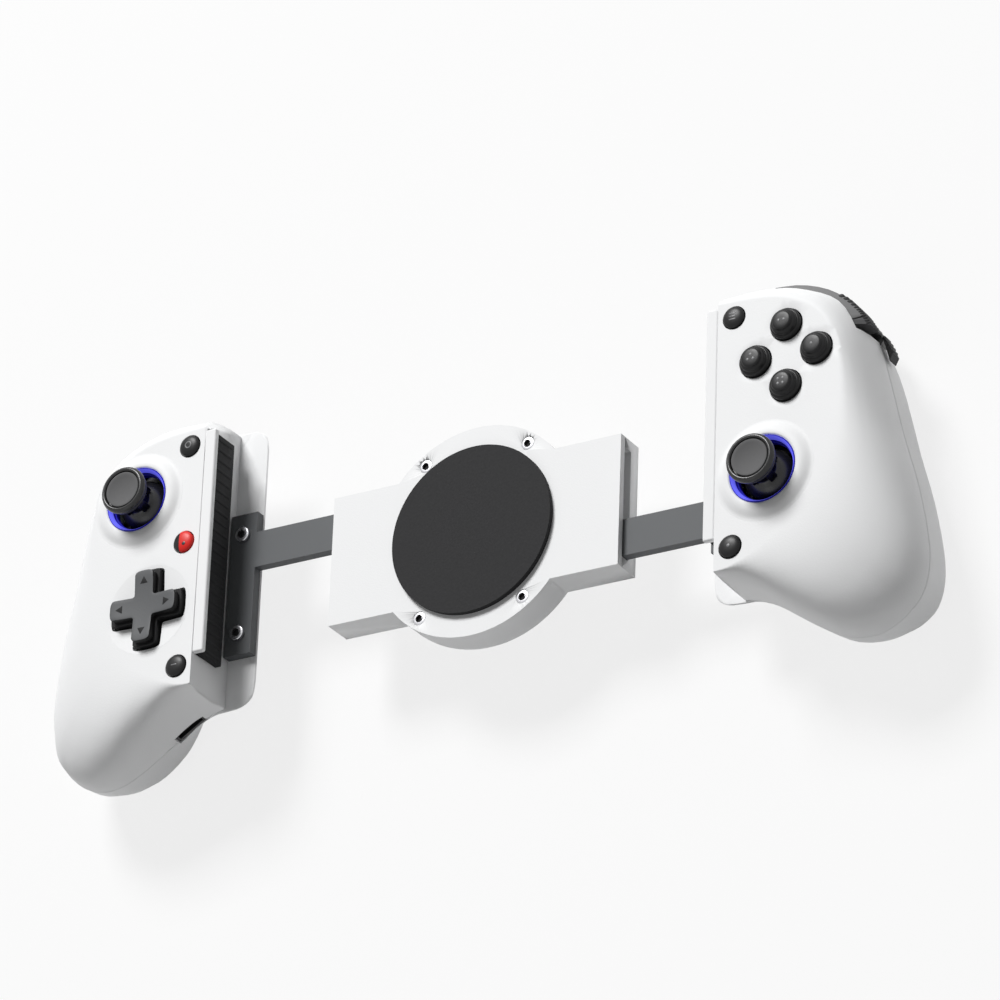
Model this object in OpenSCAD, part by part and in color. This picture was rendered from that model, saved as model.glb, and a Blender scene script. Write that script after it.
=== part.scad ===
// Stretch-fit game controller for a phone: two grips on sliding arms that meet in a centre hub.
// The part lies on its back with the controls up. +X is to the player's right, +Y to the shoulder
// buttons and +Z out of the face. Plan positions are measured from the centre of the phone bay.

/* [Phone bay] */
// Distance between the two clamp pads with the grips at rest
bay_span = 146.7; // [130:0.1:160]
// Height of the phone's front glass above the table
phone_front_z = 32; // [31:0.5:34]
// Thickness of the phone that the bay is made for
phone_thick = 7.4; // [6:0.1:9]

/* [Grip shells] */
// Height of the flat control face above the table
face_z = 34.7; // [34.4:0.1:36]
// Height of the joint between front and back shell
seam_z = 18; // [17.5:0.1:18.2]
// Thickness of the shell walls
wall = 2.2; // [1.8:0.1:2.6]
// Thickness of the wall beside the phone
bay_wall = 0.9; // [0.8:0.05:1]
// Thickness of the clamp pad
pad_thick = 1.95; // [1.5:0.05:2.5]
// Length of the tongue that reaches behind the phone
tongue_len = 8.8; // [7:0.1:10]
// Size of the groove along the joint of the shells
groove = 0.3; // [0.2:0.05:0.4]
// Fullness of the front shell's sides: 1 is a straight slope and 2 an ellipse
front_full = 2.1; // [1.8:0.1:2.6]
// Samples in each stretch of the outline
samples = 3; // [2:1:4]
// Rings from the seam to the face or to the back
rings = 6; // [4:1:8]

/* [Clamp] */
// Overlap of the lip over the end of the phone
lip_over = 1.35; // [1:0.05:2]
// Thickness of the lip
lip_thick = 1.7; // [1.4:0.1:2]
// Length of the clamp lip
lip_len = 63.2; // [58:0.2:66]
// Height of the middle of the lip above the bay's centre line
lip_mid_y = 1.5; // [0:0.1:3]

/* [Sticks] */
// Diameter of the lit ring around a stick
ring_d = 18.1; // [17:0.1:19]
// Width of the lit ring
ring_w = 1.45; // [1.2:0.05:1.6]
// Diameter of the raised collar around a stick
collar_d = 26; // [24:0.1:27]
// Height of the collar above the face
collar_h = 1.1; // [0.6:0.1:1.4]
// Depth of the stick's pivot below the face
pivot_depth = 7.5; // [7:0.1:8]
// Height of the stick's cap above the face
stick_h = 8.2; // [7:0.1:9]
// Diameter of the stick's cap
stick_d = 13; // [12:0.1:14]
// Radius of the dome that closes the ring
dome_r = 8.4; // [8:0.1:8.6]

/* [Buttons] */
// Diameter of the four face buttons
face_button_d = 8.3; // [7.8:0.1:8.8]
// Distance of a face button from the middle of the four
face_button_pitch = 8.35; // [8:0.05:9]
// Height of a face button above the face
face_button_h = 2.8; // [2:0.1:3.2]
// Diameter of the small buttons
small_button_d = 5.8; // [5.4:0.1:6.4]
// Height of a small button above the face
small_button_h = 1.1; // [0.9:0.1:1.6]
// Radial clearance of a button in its hole
button_gap = 0.3; // [0.2:0.05:0.4]
// Travel of a button
button_travel = 0.8; // [0.5:0.1:0.8]
// Width of the rim that keeps a button in the shell
button_rim = 0.9; // [0.7:0.1:1.1]

/* [Direction pad] */
// Diameter of the dish around the pad
dish_d = 25.5; // [24:0.1:26]
// Depth of the dish
dish_depth = 0.9; // [0.5:0.1:1.1]
// Span of the cross at its foot
cross_span = 21.5; // [20:0.1:22]
// Width of an arm at its foot
cross_arm = 7.2; // [6.6:0.1:7.4]
// Step from the foot of the cross to its top
cross_step = 0.8; // [0.5:0.1:1]
// Height of the cross above the face
cross_h = 3; // [2.4:0.1:3.4]
// Clearance round the cross
cross_gap = 0.8; // [0.7:0.05:1]

/* [Shoulder] */
// Height of the foot of the bumper
bumper_z = 21.1; // [21:0.1:21.4]
// Height of the bumper's outer face
bumper_h = 4.7; // [4.2:0.1:5]
// Rise of the bumper's sloping top
bumper_rise = 2.4; // [1:0.1:2.6]
// Height of the lower end of the trigger
trigger_z = 6; // [5.5:0.1:8]
// Height of the upper end of the trigger
trigger_top = 17.6; // [17.2:0.1:17.6]
// Depth of bumper and trigger inside the outline
shoulder_in = 4; // [3.5:0.1:4.5]
// Depth of the shoulder window inside the outline
window_in = 7; // [6.8:0.1:7.5]

/* [Hub and arms] */
// Radius of the round hub
hub_r = 29; // [27:0.5:31]
// Distance of the hub's centre below the bay's centre line
hub_drop = 6.7; // [5:0.1:8]
// Height of the back of the hub
hub_z = 10; // [9:0.5:12]
// Length of the sleeve that guides the arms
sleeve_len = 84; // [78:1:88]
// Height of the sleeve in the plane of the face
sleeve_h = 36; // [34:0.5:40]
// Width of a sliding arm
arm_w = 10; // [9:0.1:11]
// Thickness of a sliding arm
arm_t = 2.7; // [2.4:0.1:2.8]
// Length of an arm past the middle of the hub
arm_past = 17; // [16:0.5:18]
// Clearance of the arms in the sleeve
arm_gap = 0.3; // [0.2:0.05:0.4]
// Pitch radius of the pinion that keeps both grips in step
pinion_r = 4; // [4:0.5:4]

/* [Hidden] */
$fn = 48;
eps = 0.01;
fit = 0.05;

inner_x = bay_span / 2 + pad_thick;
tongue_x = inner_x - tongue_len;
cavity_x = inner_x + bay_wall;
phone_back_z = phone_front_z - phone_thick;
under_z = face_z - wall;
board_t = 1.6;
board_lift = 0.6;
board_z = seam_z + board_lift;
board_top = board_z + board_t;

// Points of a right grip, given from the wall beside the phone
function from_wall(l) = [for (q = l) [inner_x + q[0], q[1]]];
// Widest outline of the grip at the seam, from the top inner corner round to the lower one
seam_ctrl = from_wall([[0, 38.6], [12.8, 39.6], [22.8, 37], [31, 32.3], [35.9, 23.6], [39, 12.4],
    [43, -4.3], [46.9, -18.3], [49.5, -32.2], [49.8, -41], [48, -47.6], [44.6, -51.6], [41, -54.1],
    [35.9, -55.8], [29, -55.1], [21.6, -51.2], [15.8, -47.3], [9.3, -42.7], [4, -40.4], [0, -39.4]]);
// Edge of the flat face, point for point with the seam outline
face_ctrl = from_wall([[0, 33.8], [12.2, 33], [20.7, 30.6], [27.3, 26], [31.3, 19.2], [33.2, 11],
    [33.3, 0.5], [32.3, -7.5], [29.9, -14.5], [27.1, -19.8], [24.5, -23.8], [21.9, -26.8],
    [19.5, -29.2], [17.1, -31.2], [14.7, -33], [12.1, -34.6], [9.5, -36], [6.7, -37.2],
    [3.7, -38.2], [0, -38.6]]);
// Outline of the back shell at the seam, with the tongue behind the phone
back_ctrl = concat([[tongue_x, 33], [tongue_x + 0.9, 37], [tongue_x + 4, 39], [inner_x, 39.3]],
    [for (i = [1:18]) seam_ctrl[i]],
    [[inner_x, -40.1], [tongue_x + 4, -39.6], [tongue_x + 0.8, -37.3], [tongue_x, -33]]);
// Fullness of the back shell at each of those points
back_full = [1.2, 1.2, 1.2, 1.3, 1.8, 2, 2.1, 2.4, 2.8, 2.9, 2.9, 2.9, 2.9, 2.8, 2.5, 2.1, 1.9,
    1.9, 1.8, 1.5, 1.2, 1.2, 1.2, 1.2, 1.2, 1.2];
// Edge of the flat patch that the grip rests on, point for point with the back outline
rest_ctrl = from_wall([[14.7, 6], [14.9, 8], [15.7, 9.5], [16.9, 10.5], [19.2, 11], [22.7, 10.6],
    [26.2, 9], [28.9, 6], [30.7, 1.5], [32.2, -6], [33.7, -14], [34.9, -22], [35.3, -28],
    [34.7, -33], [32.9, -36.4], [30.3, -38.2], [27.3, -38.4], [24.3, -37], [21.7, -34.6],
    [19.7, -31.5], [18.1, -28], [16.9, -24.5], [15.9, -21], [15.1, -17.5], [14.7, -14.5],
    [14.5, -11.5]]);
// Outer edges of the bumper and the trigger, from the end by the phone round the corner
bumper_edge = from_wall([[11.2, 40.4], [18, 39.6], [25, 37], [30.5, 33.2], [34, 29.4],
    [35.9, 26.9], [37.4, 24.2]]);
trigger_edge = from_wall([[13.4, 39.6], [19, 38.9], [25.2, 36.6], [30.6, 32.8], [34.8, 28],
    [38.2, 22.6], [40.2, 18]]);

function spline_at(c, u) = let (i = min(floor(u), len(c) - 2), t = u - i, a = c[max(i - 1, 0)],
    b = c[i], d = c[i + 1], e = c[min(i + 2, len(c) - 1)])
    0.5 * (2 * b + (d - a) * t + (2 * a - 5 * b + 4 * d - e) * t * t
        + (3 * b - a - 3 * d + e) * t * t * t);
function spline(c) = [for (i = [0:(len(c) - 1) * samples]) spline_at(c, i / samples)];
function straight(a, b, n) = [for (i = [1:n - 1]) a + (b - a) * i / n];
inner_steps = 6;
function loop(c) = concat(spline(c), straight(c[len(c) - 1], c[0], inner_steps));
function unit(v) = v / norm(v);
function left_of(v) = [-v[1], v[0]];
// Control points moved inward by d, with both ends put on the line x
function inset(c, d, x) = let (n = len(c) - 1) concat([[x, c[0][1] - d]],
    [for (i = [1:n - 1]) c[i] - d * unit(left_of(c[i + 1] - c[i - 1]))], [[x, c[n][1] + d]]);
function normal_u(u) = unit(left_of(spline_at(seam_ctrl, u + 0.05) - spline_at(seam_ctrl, u - 0.05)));
// A point beside the seam outline, at place u and reach r
function beside(u, r) = spline_at(seam_ctrl, u) + r * normal_u(u);
band_steps = 14;
function along(u0, u1, r) = [for (i = [0:band_steps]) beside(u0 + (u1 - u0) * i / band_steps, r)];
function band(u, out, inn) = concat(along(u[0], u[1], out), reversed(along(u[0], u[1], -inn)));
// Upright sections of a shoulder piece along its outer edge: depths from the edge, with heights
function sections(edge, u, profile, foot, top) = [for (i = [0:band_steps])
    let (out = spline_at(edge, (len(edge) - 1) * i / band_steps),
        inn = beside(u[0] + (u[1] - u[0]) * i / band_steps, -shoulder_in), d = unit(inn - out))
    concat([for (q = profile) concat(out + q[0] * d, q[1])], [concat(inn, top), concat(inn, foot)])];

// Rings from loop a at height za, upright there, to loop b at zb, level there, with fullness n
function shell_rings(a, za, b, zb, n) = [for (k = [0:rings]) let (t = 90 * k / rings)
    [for (i = [0:len(a) - 1]) let (h = 1 - pow(cos(t), 2 / n[i]), v = pow(sin(t), 2 / n[i]))
        concat(a[i] + (b[i] - a[i]) * h, za + (zb - za) * v)]];
function ring_faces(m, n) = [for (k = [0:m - 2], i = [0:n - 1]) let (j = (i + 1) % n)
    each [[k * n + i, (k + 1) * n + i, (k + 1) * n + j], [k * n + i, (k + 1) * n + j, k * n + j]]];
function reversed(l) = [for (i = [len(l) - 1:-1:0]) l[i]];
function middle(r) = [for (k = [0:2]) min([for (q = r) q[k]]) / 2 + max([for (q = r) q[k]]) / 2];
// A hollow half shell: outer rings from the seam, inner rings back to it, each closed by a fan
module half_shell(outer, inner, flip) {
    n = len(outer[0]);
    all = concat(reversed(outer), inner);
    m = len(all);
    points = concat([for (r = all) each r], [middle(all[0]), middle(all[m - 1])]);
    first = [for (i = [0:n - 1]) [m * n, i, (i + 1) % n]];
    last = [for (i = [0:n - 1]) [m * n + 1, (m - 1) * n + (i + 1) % n, (m - 1) * n + i]];
    faces = concat(ring_faces(m, n), first, last);
    polyhedron(points, flip ? [for (f = faces) reversed(f)] : faces);
}

// A solid through sections that all have as many points
module loft(rows) {
    n = len(rows[0]);
    m = len(rows);
    polyhedron([for (r = rows) each r], concat(ring_faces(m, n), [[for (i = [0:n - 1]) i]],
        [[for (i = [n - 1:-1:0]) (m - 1) * n + i]]));
}

seam_loop = loop(seam_ctrl);
rest_loop = loop(rest_ctrl);
front_fullness = [for (q = seam_loop) front_full];
back_fullness = loop(back_full);

// The part's centre line in Y, midway between the handles' ends and the shoulder
back_loop = loop(back_ctrl);
handle_end = min([for (q = concat(seam_loop, back_loop)) q[1]]);
shoulder_end = max([for (q = concat(seam_loop, back_loop, spline(bumper_edge))) q[1]]);
bay_y = -(handle_end + shoulder_end) / 2;
echo(bay_y = bay_y);

module right() translate([0, bay_y, 0]) children();
module left() translate([0, bay_y, 0]) mirror([1, 0, 0]) children();
module hub() translate([0, bay_y, 0]) children();

// Places of the controls, with X measured away from the bay's middle on either grip
left_stick_at = [inner_x + 19.5, 16.8];
right_stick_at = [inner_x + 13.5, -14.35];
cross_at = [inner_x + 14.2, -15.2];
face_buttons_at = [inner_x + 18.95, 15.9];
upper_small_at = [inner_x + 4.5, 29.4];
lower_small_at = [inner_x + 4.5, -33.05];
capture_at = [inner_x + 4.5, 1.9];
function face_button_at(k) = face_buttons_at + face_button_pitch * [cos(90 * k), sin(90 * k)];

module at(p, z = 0) translate([p[0], p[1], z]) children();
module bore(p, d) at(p, under_z - wall) cylinder(d = d, h = 3 * wall);
module bar(size, z0, z1) translate([-size[0] / 2, -size[1] / 2, z0]) cube([size[0], size[1], z1 - z0]);
module cross(span, arm) {
    square([span, arm], center = true);
    square([arm, span], center = true);
}

// Front and back shells of a right grip, whole
cavity_end = 0.6;
face_cavity = concat([[cavity_x, face_ctrl[0][1] - cavity_end]], [for (i = [1:18]) face_ctrl[i]],
    [[cavity_x, face_ctrl[19][1] + cavity_end]]);
seam_inset = inset(seam_ctrl, wall, cavity_x);
function level(l, z) = [for (q = l) concat(q, z)];
front_outer = concat([level(loop(inset(seam_ctrl, groove, inner_x)), seam_z)],
    shell_rings(seam_loop, seam_z + groove, loop(face_ctrl), face_z, front_fullness));
front_inner = shell_rings(loop(seam_inset), seam_z, loop(face_cavity), under_z, front_fullness);
// Inner outline of the back shell, which leaves the tongue solid
cavity_top = [8.6, 6.6, 5, 3.6];
cavity_foot = [2.8, 4.4, 6, 8.4];
back_cavity = concat([for (d = cavity_top) [cavity_x, seam_ctrl[0][1] - d]],
    [for (i = [1:18]) seam_inset[i]], [for (d = cavity_foot) [cavity_x, seam_ctrl[19][1] + d]]);
back_outer = concat([level(loop(inset(back_ctrl, groove, tongue_x + groove)), seam_z)],
    shell_rings(back_loop, seam_z - groove, rest_loop, 0, back_fullness));
back_inner = shell_rings(loop(back_cavity), seam_z, rest_loop, wall, back_fullness);

// Screw bosses under the flat patch of the back
boss_d = 6;
screw_d = 2.4;
screw_gap = 0.05;
screw_head_d = 5.2;
screw_sink = 0.6;
screw_len = 13;
bosses_at = from_wall([[21.7, 4], [30.7, -16], [24.7, -31]]);

// Openings of the shoulder: one round the corner and one square to the trigger's pin
shoulder_gap = 0.4;
window_u = [0.82, 4.08];
window_out = 8;
window_top = bumper_z + bumper_h + bumper_rise + shoulder_gap;
module window(z0, z1) translate([0, 0, z0]) linear_extrude(z1 - z0)
    polygon(band(window_u, window_out, window_in));
trigger_u = [0.95, 4.75];
// Wing of the trigger, which passes outside the shell beyond the corner
wing_u = [3.85, 4.6];
wing_edge_u = [4.4, 5.6];
wing_gap = 0.9;
wing_h = 3.4;
wing_steps = 6;
trigger_ends = [-16.5, 11.5];
trigger_back = 2.6;
trigger_drop = 4;
trigger_taper = 20;
trigger_curve = [[0, 1], [0.9, 0.63], [1.3, 0.36], [1, 0.12], [1.8, 0]];
trigger_pin_d = 2;
trigger_lug_d = 5;
trigger_lug_w = 8;
trigger_pin_in = 9.5;
trigger_pin_z = board_z - trigger_lug_d / 2 - shoulder_gap;
trigger_chord_u = [1.05, 4.45];
trigger_chord = unit(spline_at(seam_ctrl, trigger_chord_u[1]) - spline_at(seam_ctrl, trigger_chord_u[0]));
trigger_pin_u = 2.75;
trigger_pin_at = beside(trigger_pin_u, -trigger_pin_in);
// Local frame of the trigger: X along its pin, Y outward, at the pin
module at_trigger() at(trigger_pin_at, trigger_pin_z)
    rotate(atan2(trigger_chord[1], trigger_chord[0])) children();
// Room of the trigger between two heights, narrower towards the foot, with a gap round it
module trigger_room(z0, z1, gap) at_trigger() difference() {
    translate([trigger_ends[0] - gap, -trigger_back - gap, z0 - trigger_pin_z])
        cube([trigger_ends[1] - trigger_ends[0] + 2 * gap, 4 * trigger_pin_in, z1 - z0]);
    translate([trigger_ends[1] + 3 * gap, 0, trigger_top - trigger_pin_z])
        rotate([0, trigger_taper, 0]) translate([0, -hub_r, -hub_r]) cube(2 * hub_r);
}

// Charging socket at the seam of the left grip
port_u = 16.9;
port_size = [9, 7, 2.8];
port_gap = 0.3;
port_wall = 0.6;
port_reach = 0.6;
module slab(size) translate([-size[0] / 2, -size[1] / 2, 0]) cube(size);
module at_port() {
    n = normal_u(port_u);
    at(spline_at(seam_ctrl, port_u), seam_z) rotate(atan2(n[1], n[0]) - 90) children();
}
module port_cut() at_port() translate([0, -port_size[1] / 2, -port_size[2] / 2 - port_gap])
    slab([port_size[0] + 2 * port_gap, 2 * port_size[1], port_size[2] + 2 * port_gap]);

// Collar that rises to the stick's ring
collar_foot = 1.2;
collar_edge = 0.3;
collar_flat = 0.5;
module collar(p) at(p) rotate_extrude() polygon([[ring_d / 2, under_z], [ring_d / 2 + collar_foot, under_z],
    [collar_d / 2, face_z - collar_edge], [collar_d / 2, face_z],
    [ring_d / 2 + collar_flat, face_z + collar_h], [ring_d / 2, face_z + collar_h]]);
module front_shell(stick_at) {
    color("white") difference() {
        half_shell(front_outer, front_inner, false);
        bore(stick_at, ring_d + collar_flat);
        for (p = [upper_small_at, lower_small_at]) bore(p, small_button_d + 2 * button_gap);
        window(seam_z - 1, window_top);
        children();
    }
    color("white") collar(stick_at);
}
module back_shell(with_port) color("white") difference() {
    union() {
        half_shell(back_outer, back_inner, true);
        for (p = bosses_at) at(p, wall / 2) cylinder(d = boss_d, h = board_z - wall / 2);
    }
    for (p = bosses_at) {
        at(p, -wall) cylinder(d = screw_head_d + 4 * screw_gap, h = 2 * wall + screw_sink);
        at(p, wall / 2) cylinder(d = screw_d + 2 * screw_gap, h = board_z);
    }
    for (y = arm_screws_y) at([arm_screw_x, y], seam_z - arm_screw_len - screw_gap)
        cylinder(d = arm_screw_d + 2 * screw_gap, h = seam_z);
    trigger_room(trigger_z - trigger_drop, seam_z + 1, shoulder_gap);
    if (with_port) port_cut();
}
module shell_screws() color("dimgray") for (p = bosses_at) {
    at(p, screw_sink) cylinder(d = screw_head_d, h = wall);
    at(p, screw_sink + wall - eps) cylinder(d = screw_d, h = screw_len);
}
board_inset = wall + 1;
board_gap = 0.6;
module board(with_port) color("darkgreen") difference() {
    translate([0, 0, board_z]) linear_extrude(board_t)
        polygon(loop(inset(seam_ctrl, board_inset, cavity_x + board_gap)));
    window(board_z - 1, board_top + 1);
    if (with_port) port_cut();
}

// Clamp on the wall beside the phone
lip_x = bay_span / 2 - lip_over;
lip_z = face_z - lip_thick;
pad_foot_z = phone_back_z - pad_thick / 2;
module clamp_lip() color("white") translate([lip_x, lip_mid_y - lip_len / 2, lip_z])
    cube([inner_x - lip_x, lip_len, lip_thick]);
module clamp_pad() color("black") translate([inner_x - pad_thick, lip_mid_y - lip_len / 2, pad_foot_z])
    cube([pad_thick, lip_len, lip_z - pad_foot_z]);

// Stick: ring, housing, two crossed hinges and a pressed lever
pivot_z = face_z - pivot_depth;
ring_proud = 0.2;
ring_top = face_z + collar_h + ring_proud;
housing = 16;
housing_wall = 1.6;
housing_floor = 1;
housing_top = pivot_z + 1.2;
trunnion_d = 2;
yoke_r = [3.9, 5.4];
yoke_h = 2.6;
hub_post_d = 5;
hub_post_h = 5.2;
hub_pin_d = 1.6;
lever_d = 3;
lever_foot = 3.3;
dome_wall = 0.9;
dome_edge = 53;
dome_steps = 8;
neck_r = 3.2;
cap_thick = 3.4;
cap_hollow = 0.8;
cap_round = 1;
module along_x(d, a, b) translate([a, 0, 0]) rotate([0, 90, 0]) cylinder(d = d, h = b - a);
module along_y(d, a, b) translate([0, b, 0]) rotate([90, 0, 0]) cylinder(d = d, h = b - a);
module stick_ring(p) color("dodgerblue") at(p, under_z) difference() {
    cylinder(d = ring_d - 2 * fit, h = ring_top - under_z);
    translate([0, 0, -1]) cylinder(d = ring_d - 2 * ring_w, h = ring_top);
}
module stick_housing(p) color("gray") at(p) difference() {
    bar([housing, housing], board_top, housing_top);
    bar([housing, housing] - 2 * housing_wall * [1, 1], board_top + housing_floor, housing_top + 1);
    translate([0, 0, pivot_z]) along_x(trunnion_d + 2 * fit, -housing, housing);
}
module gimbal_ring(r, h, pin_d, axle_d, reach) {
    difference() {
        translate([0, 0, -h / 2]) cylinder(r = r[1], h = h);
        translate([0, 0, -h]) cylinder(r = r[0], h = 2 * h);
        along_y(pin_d + 2 * fit, -2 * r[1], 2 * r[1]);
    }
    for (s = [0, 180]) rotate(s) along_x(axle_d, r[1] - 0.3, reach);
}
module stick_yoke(p) color("silver") at(p, pivot_z)
    gimbal_ring(yoke_r, yoke_h, hub_pin_d, trunnion_d, housing / 2);
module stick_pivot(p) color("lightgray") at(p, pivot_z) {
    difference() {
        translate([0, 0, -hub_post_h / 2]) cylinder(d = hub_post_d, h = hub_post_h);
        translate([0, 0, -hub_post_h]) cylinder(d = lever_d + 2 * fit, h = 2 * hub_post_h);
    }
    for (s = [0, 180]) rotate(s) along_y(hub_pin_d, (lever_d + hub_post_d) / 4, yoke_r[1]);
}
module stick_lever(p) color("black") at(p, pivot_z - lever_foot)
    cylinder(d = lever_d, h = lever_top + lever_foot);
cap_top = pivot_depth + stick_h;
cap_foot = cap_top - cap_thick;
cap_socket = 0.8;
lever_top = cap_foot + cap_socket;
function dome_at(r, i) = r * [sin(dome_edge * i / dome_steps), cos(dome_edge * i / dome_steps)];
module stick_cap(p) color([0.12, 0.12, 0.13]) at(p, pivot_z) difference() {
    rotate_extrude() polygon(concat([for (i = [0:dome_steps]) dome_at(dome_r - dome_wall, i)],
        [for (i = [dome_steps:-1:dome_steps / 2]) dome_at(dome_r, i)],
        [[neck_r, dome_r], [neck_r, cap_foot], [stick_d / 2 - cap_round, cap_foot],
            [stick_d / 2, cap_foot + cap_round], [stick_d / 2, cap_top - cap_round],
            [stick_d / 2 - cap_round / 2, cap_top], [stick_d / 2 - 2 * cap_round, cap_top - cap_hollow / 2],
            [0, cap_top - cap_hollow]]));
    cylinder(d = lever_d + 2 * fit, h = lever_top + fit);
}

// A button with the rim that keeps it in its hole and the stem that presses its switch
switch_d = 4.4;
switch_h = 1.2;
stem_d = 3.2;
rim_h = 1.2;
rim_gap = 0.3;
switch_gap = 0.2;
crown_h = 12;
crown_r = 1.6;
rim_top = under_z - rim_gap;
stem_z = board_top + switch_h + button_travel + switch_gap;
module button(p, d, h) at(p) {
    difference() {
        translate([0, 0, rim_top - rim_h]) cylinder(d = d, h = face_z + h - rim_top + rim_h);
        translate([0, 0, face_z + h - d / crown_h]) difference() {
            cylinder(d = 2 * d, h = d);
            translate([0, 0, d / crown_h - crown_r * d]) sphere(r = crown_r * d, $fn = 96);
        }
    }
    bar([0.6 * d, d + 2 * button_rim], rim_top - rim_h, rim_top);
    translate([0, 0, stem_z]) cylinder(d = stem_d, h = rim_top - rim_h / 2 - stem_z);
}
module small_button(p) color("black") button(p, small_button_d, small_button_h);
module capture_button() color("red") button(capture_at, small_button_d, small_button_h);
module face_button(k) color("black") button(face_button_at(k), face_button_d, face_button_h);
module switches(places) color("goldenrod") for (p = places) at(p, board_top)
    cylinder(d = switch_d, h = switch_h);
// Shallow dish that the face buttons share
lobe_d = 12.4;
lobe_depth = 0.3;
module lobes_cut() for (k = [0:3]) at(face_button_at(k), face_z - lobe_depth) cylinder(d = lobe_d, h = wall);

// Direction pad on crossed hinges
cross_pivot_depth = 5.2;
cross_pivot_z = face_z - cross_pivot_depth;
cross_foot_drop = 0.9;
cross_foot_z = under_z - cross_foot_drop;
rocker_r = [2.9, 4.2];
rocker_h = 2;
rocker_pin_d = 1.4;
rocker_axle_d = 1.6;
cradle_in = 4.7;
cradle_wall = 1.6;
cradle_w = 4;
cradle_cover = 1.2;
cradle_top = cross_pivot_z + cradle_cover;
cradle_floor = 1.2;
cross_post_d = 3.8;
cross_post_sink = 1.5;
dish_ball_r = (dish_d * dish_d / 4 + dish_depth * dish_depth) / (2 * dish_depth);
module dish_cut() at(cross_at, face_z - dish_depth + dish_ball_r) sphere(r = dish_ball_r, $fn = 128);
module cross_cut() at(cross_at, under_z - 1) linear_extrude(wall + 2)
    cross(cross_span + 2 * cross_gap, cross_arm + 2 * cross_gap);
module dpad() color([0.25, 0.26, 0.28]) at(cross_at) {
    translate([0, 0, cross_foot_z]) linear_extrude(face_z + 1 - cross_foot_z) cross(cross_span, cross_arm);
    translate([0, 0, face_z]) linear_extrude(cross_h)
        cross(cross_span - 2 * cross_step, cross_arm - 2 * cross_step);
    translate([0, 0, cross_pivot_z - cross_post_sink])
        cylinder(d = cross_post_d, h = cross_foot_z - cross_pivot_z + 2 * cross_post_sink);
    translate([0, 0, cross_pivot_z]) along_y(rocker_pin_d, -rocker_r[1], rocker_r[1]);
}
module dpad_rocker() color("silver") at(cross_at, cross_pivot_z)
    gimbal_ring(rocker_r, rocker_h, rocker_pin_d, rocker_axle_d, cradle_in + cradle_wall);
module dpad_cradle() color("gray") at(cross_at) difference() {
    union() {
        for (s = [-1, 1]) translate([s * (cradle_in + cradle_wall / 2), 0, 0])
            bar([cradle_wall, cradle_w], board_top, cradle_top);
        bar([2 * (cradle_in + cradle_wall), cradle_w], board_top, board_top + cradle_floor);
    }
    translate([0, 0, cross_pivot_z]) along_x(rocker_axle_d + 2 * fit, -dish_d, dish_d);
}

// Shoulder: bumper on an upright pin, trigger on a pin along the corner
bumper_u = [0.98, 3.85];
bumper_slope = 3.2;
bumper_top = bumper_z + bumper_h + bumper_rise;
bumper_pin_d = 2;
bumper_lug_d = 5.2;
bumper_pin_u = 1.35;
bumper_lug_u = 0.18;
bumper_pin_in = 9.5;
bumper_pin_at = beside(bumper_pin_u, -bumper_pin_in);
module bumper() color([0.3, 0.31, 0.33]) difference() {
    union() {
        loft(sections(bumper_edge, bumper_u, [[0, bumper_z], [0, bumper_z + bumper_h],
            [bumper_slope, bumper_top]], bumper_z, bumper_top));
        at(bumper_pin_at, bumper_z) cylinder(d = bumper_lug_d, h = bumper_h);
        translate([0, 0, bumper_z]) linear_extrude(bumper_h) polygon([
            beside(bumper_pin_u - bumper_lug_u, -shoulder_in / 2),
            beside(bumper_pin_u + bumper_lug_u, -shoulder_in / 2),
            beside(bumper_pin_u + bumper_lug_u, -bumper_pin_in),
            beside(bumper_pin_u - bumper_lug_u, -bumper_pin_in)]);
    }
    at(bumper_pin_at) cylinder(d = bumper_pin_d + 2 * fit, h = face_z);
}
module bumper_pin() color("silver") at(bumper_pin_at, board_top)
    cylinder(d = bumper_pin_d, h = bumper_z + bumper_h - board_top);
ear_t = 2;
ear_gap = 0.3;
ear_end = trigger_lug_w / 2 + ear_gap + ear_t;
echo(trigger_pin_at = trigger_pin_at, trigger_chord = trigger_chord, bumper_pin_at = bumper_pin_at,
    trigger_pin_z = trigger_pin_z);
module trigger_wing() translate([0, 0, trigger_top - wing_h]) linear_extrude(wing_h) polygon(concat(
    [for (i = [0:wing_steps]) spline_at(trigger_edge,
        wing_edge_u[0] + (wing_edge_u[1] - wing_edge_u[0]) * i / wing_steps)],
    reversed(along(wing_u[0], wing_u[1], wing_gap))));
module trigger() color("black") difference() {
    union() {
        trigger_wing();
        intersection() {
            loft(sections(trigger_edge, trigger_u, [for (q = reversed(trigger_curve))
                [q[0], trigger_z + (trigger_top - trigger_z) * q[1]]], trigger_z, trigger_top));
            trigger_room(trigger_z - 1, trigger_top + 1, 0);
        }
        at_trigger() translate([-trigger_lug_w / 2, 0, -trigger_lug_d / 2])
            cube([trigger_lug_w, trigger_pin_in - shoulder_in / 2, trigger_lug_d]);
        at_trigger() along_x(trigger_lug_d, -trigger_lug_w / 2, trigger_lug_w / 2);
    }
    at_trigger() along_x(trigger_pin_d + 2 * fit, -trigger_lug_w, trigger_lug_w);
}
module trigger_pin() color("silver") at_trigger() along_x(trigger_pin_d, -ear_end, ear_end);
module trigger_bracket() color("dimgray") at_trigger() difference() {
    for (s = [-1, 1]) translate([s * (ear_end - ear_t / 2), 0, 0])
        bar([ear_t, trigger_lug_d], -trigger_lug_d / 2, board_z - trigger_pin_z);
    along_x(trigger_pin_d + 2 * eps, -2 * ear_end, 2 * ear_end);
}

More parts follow.
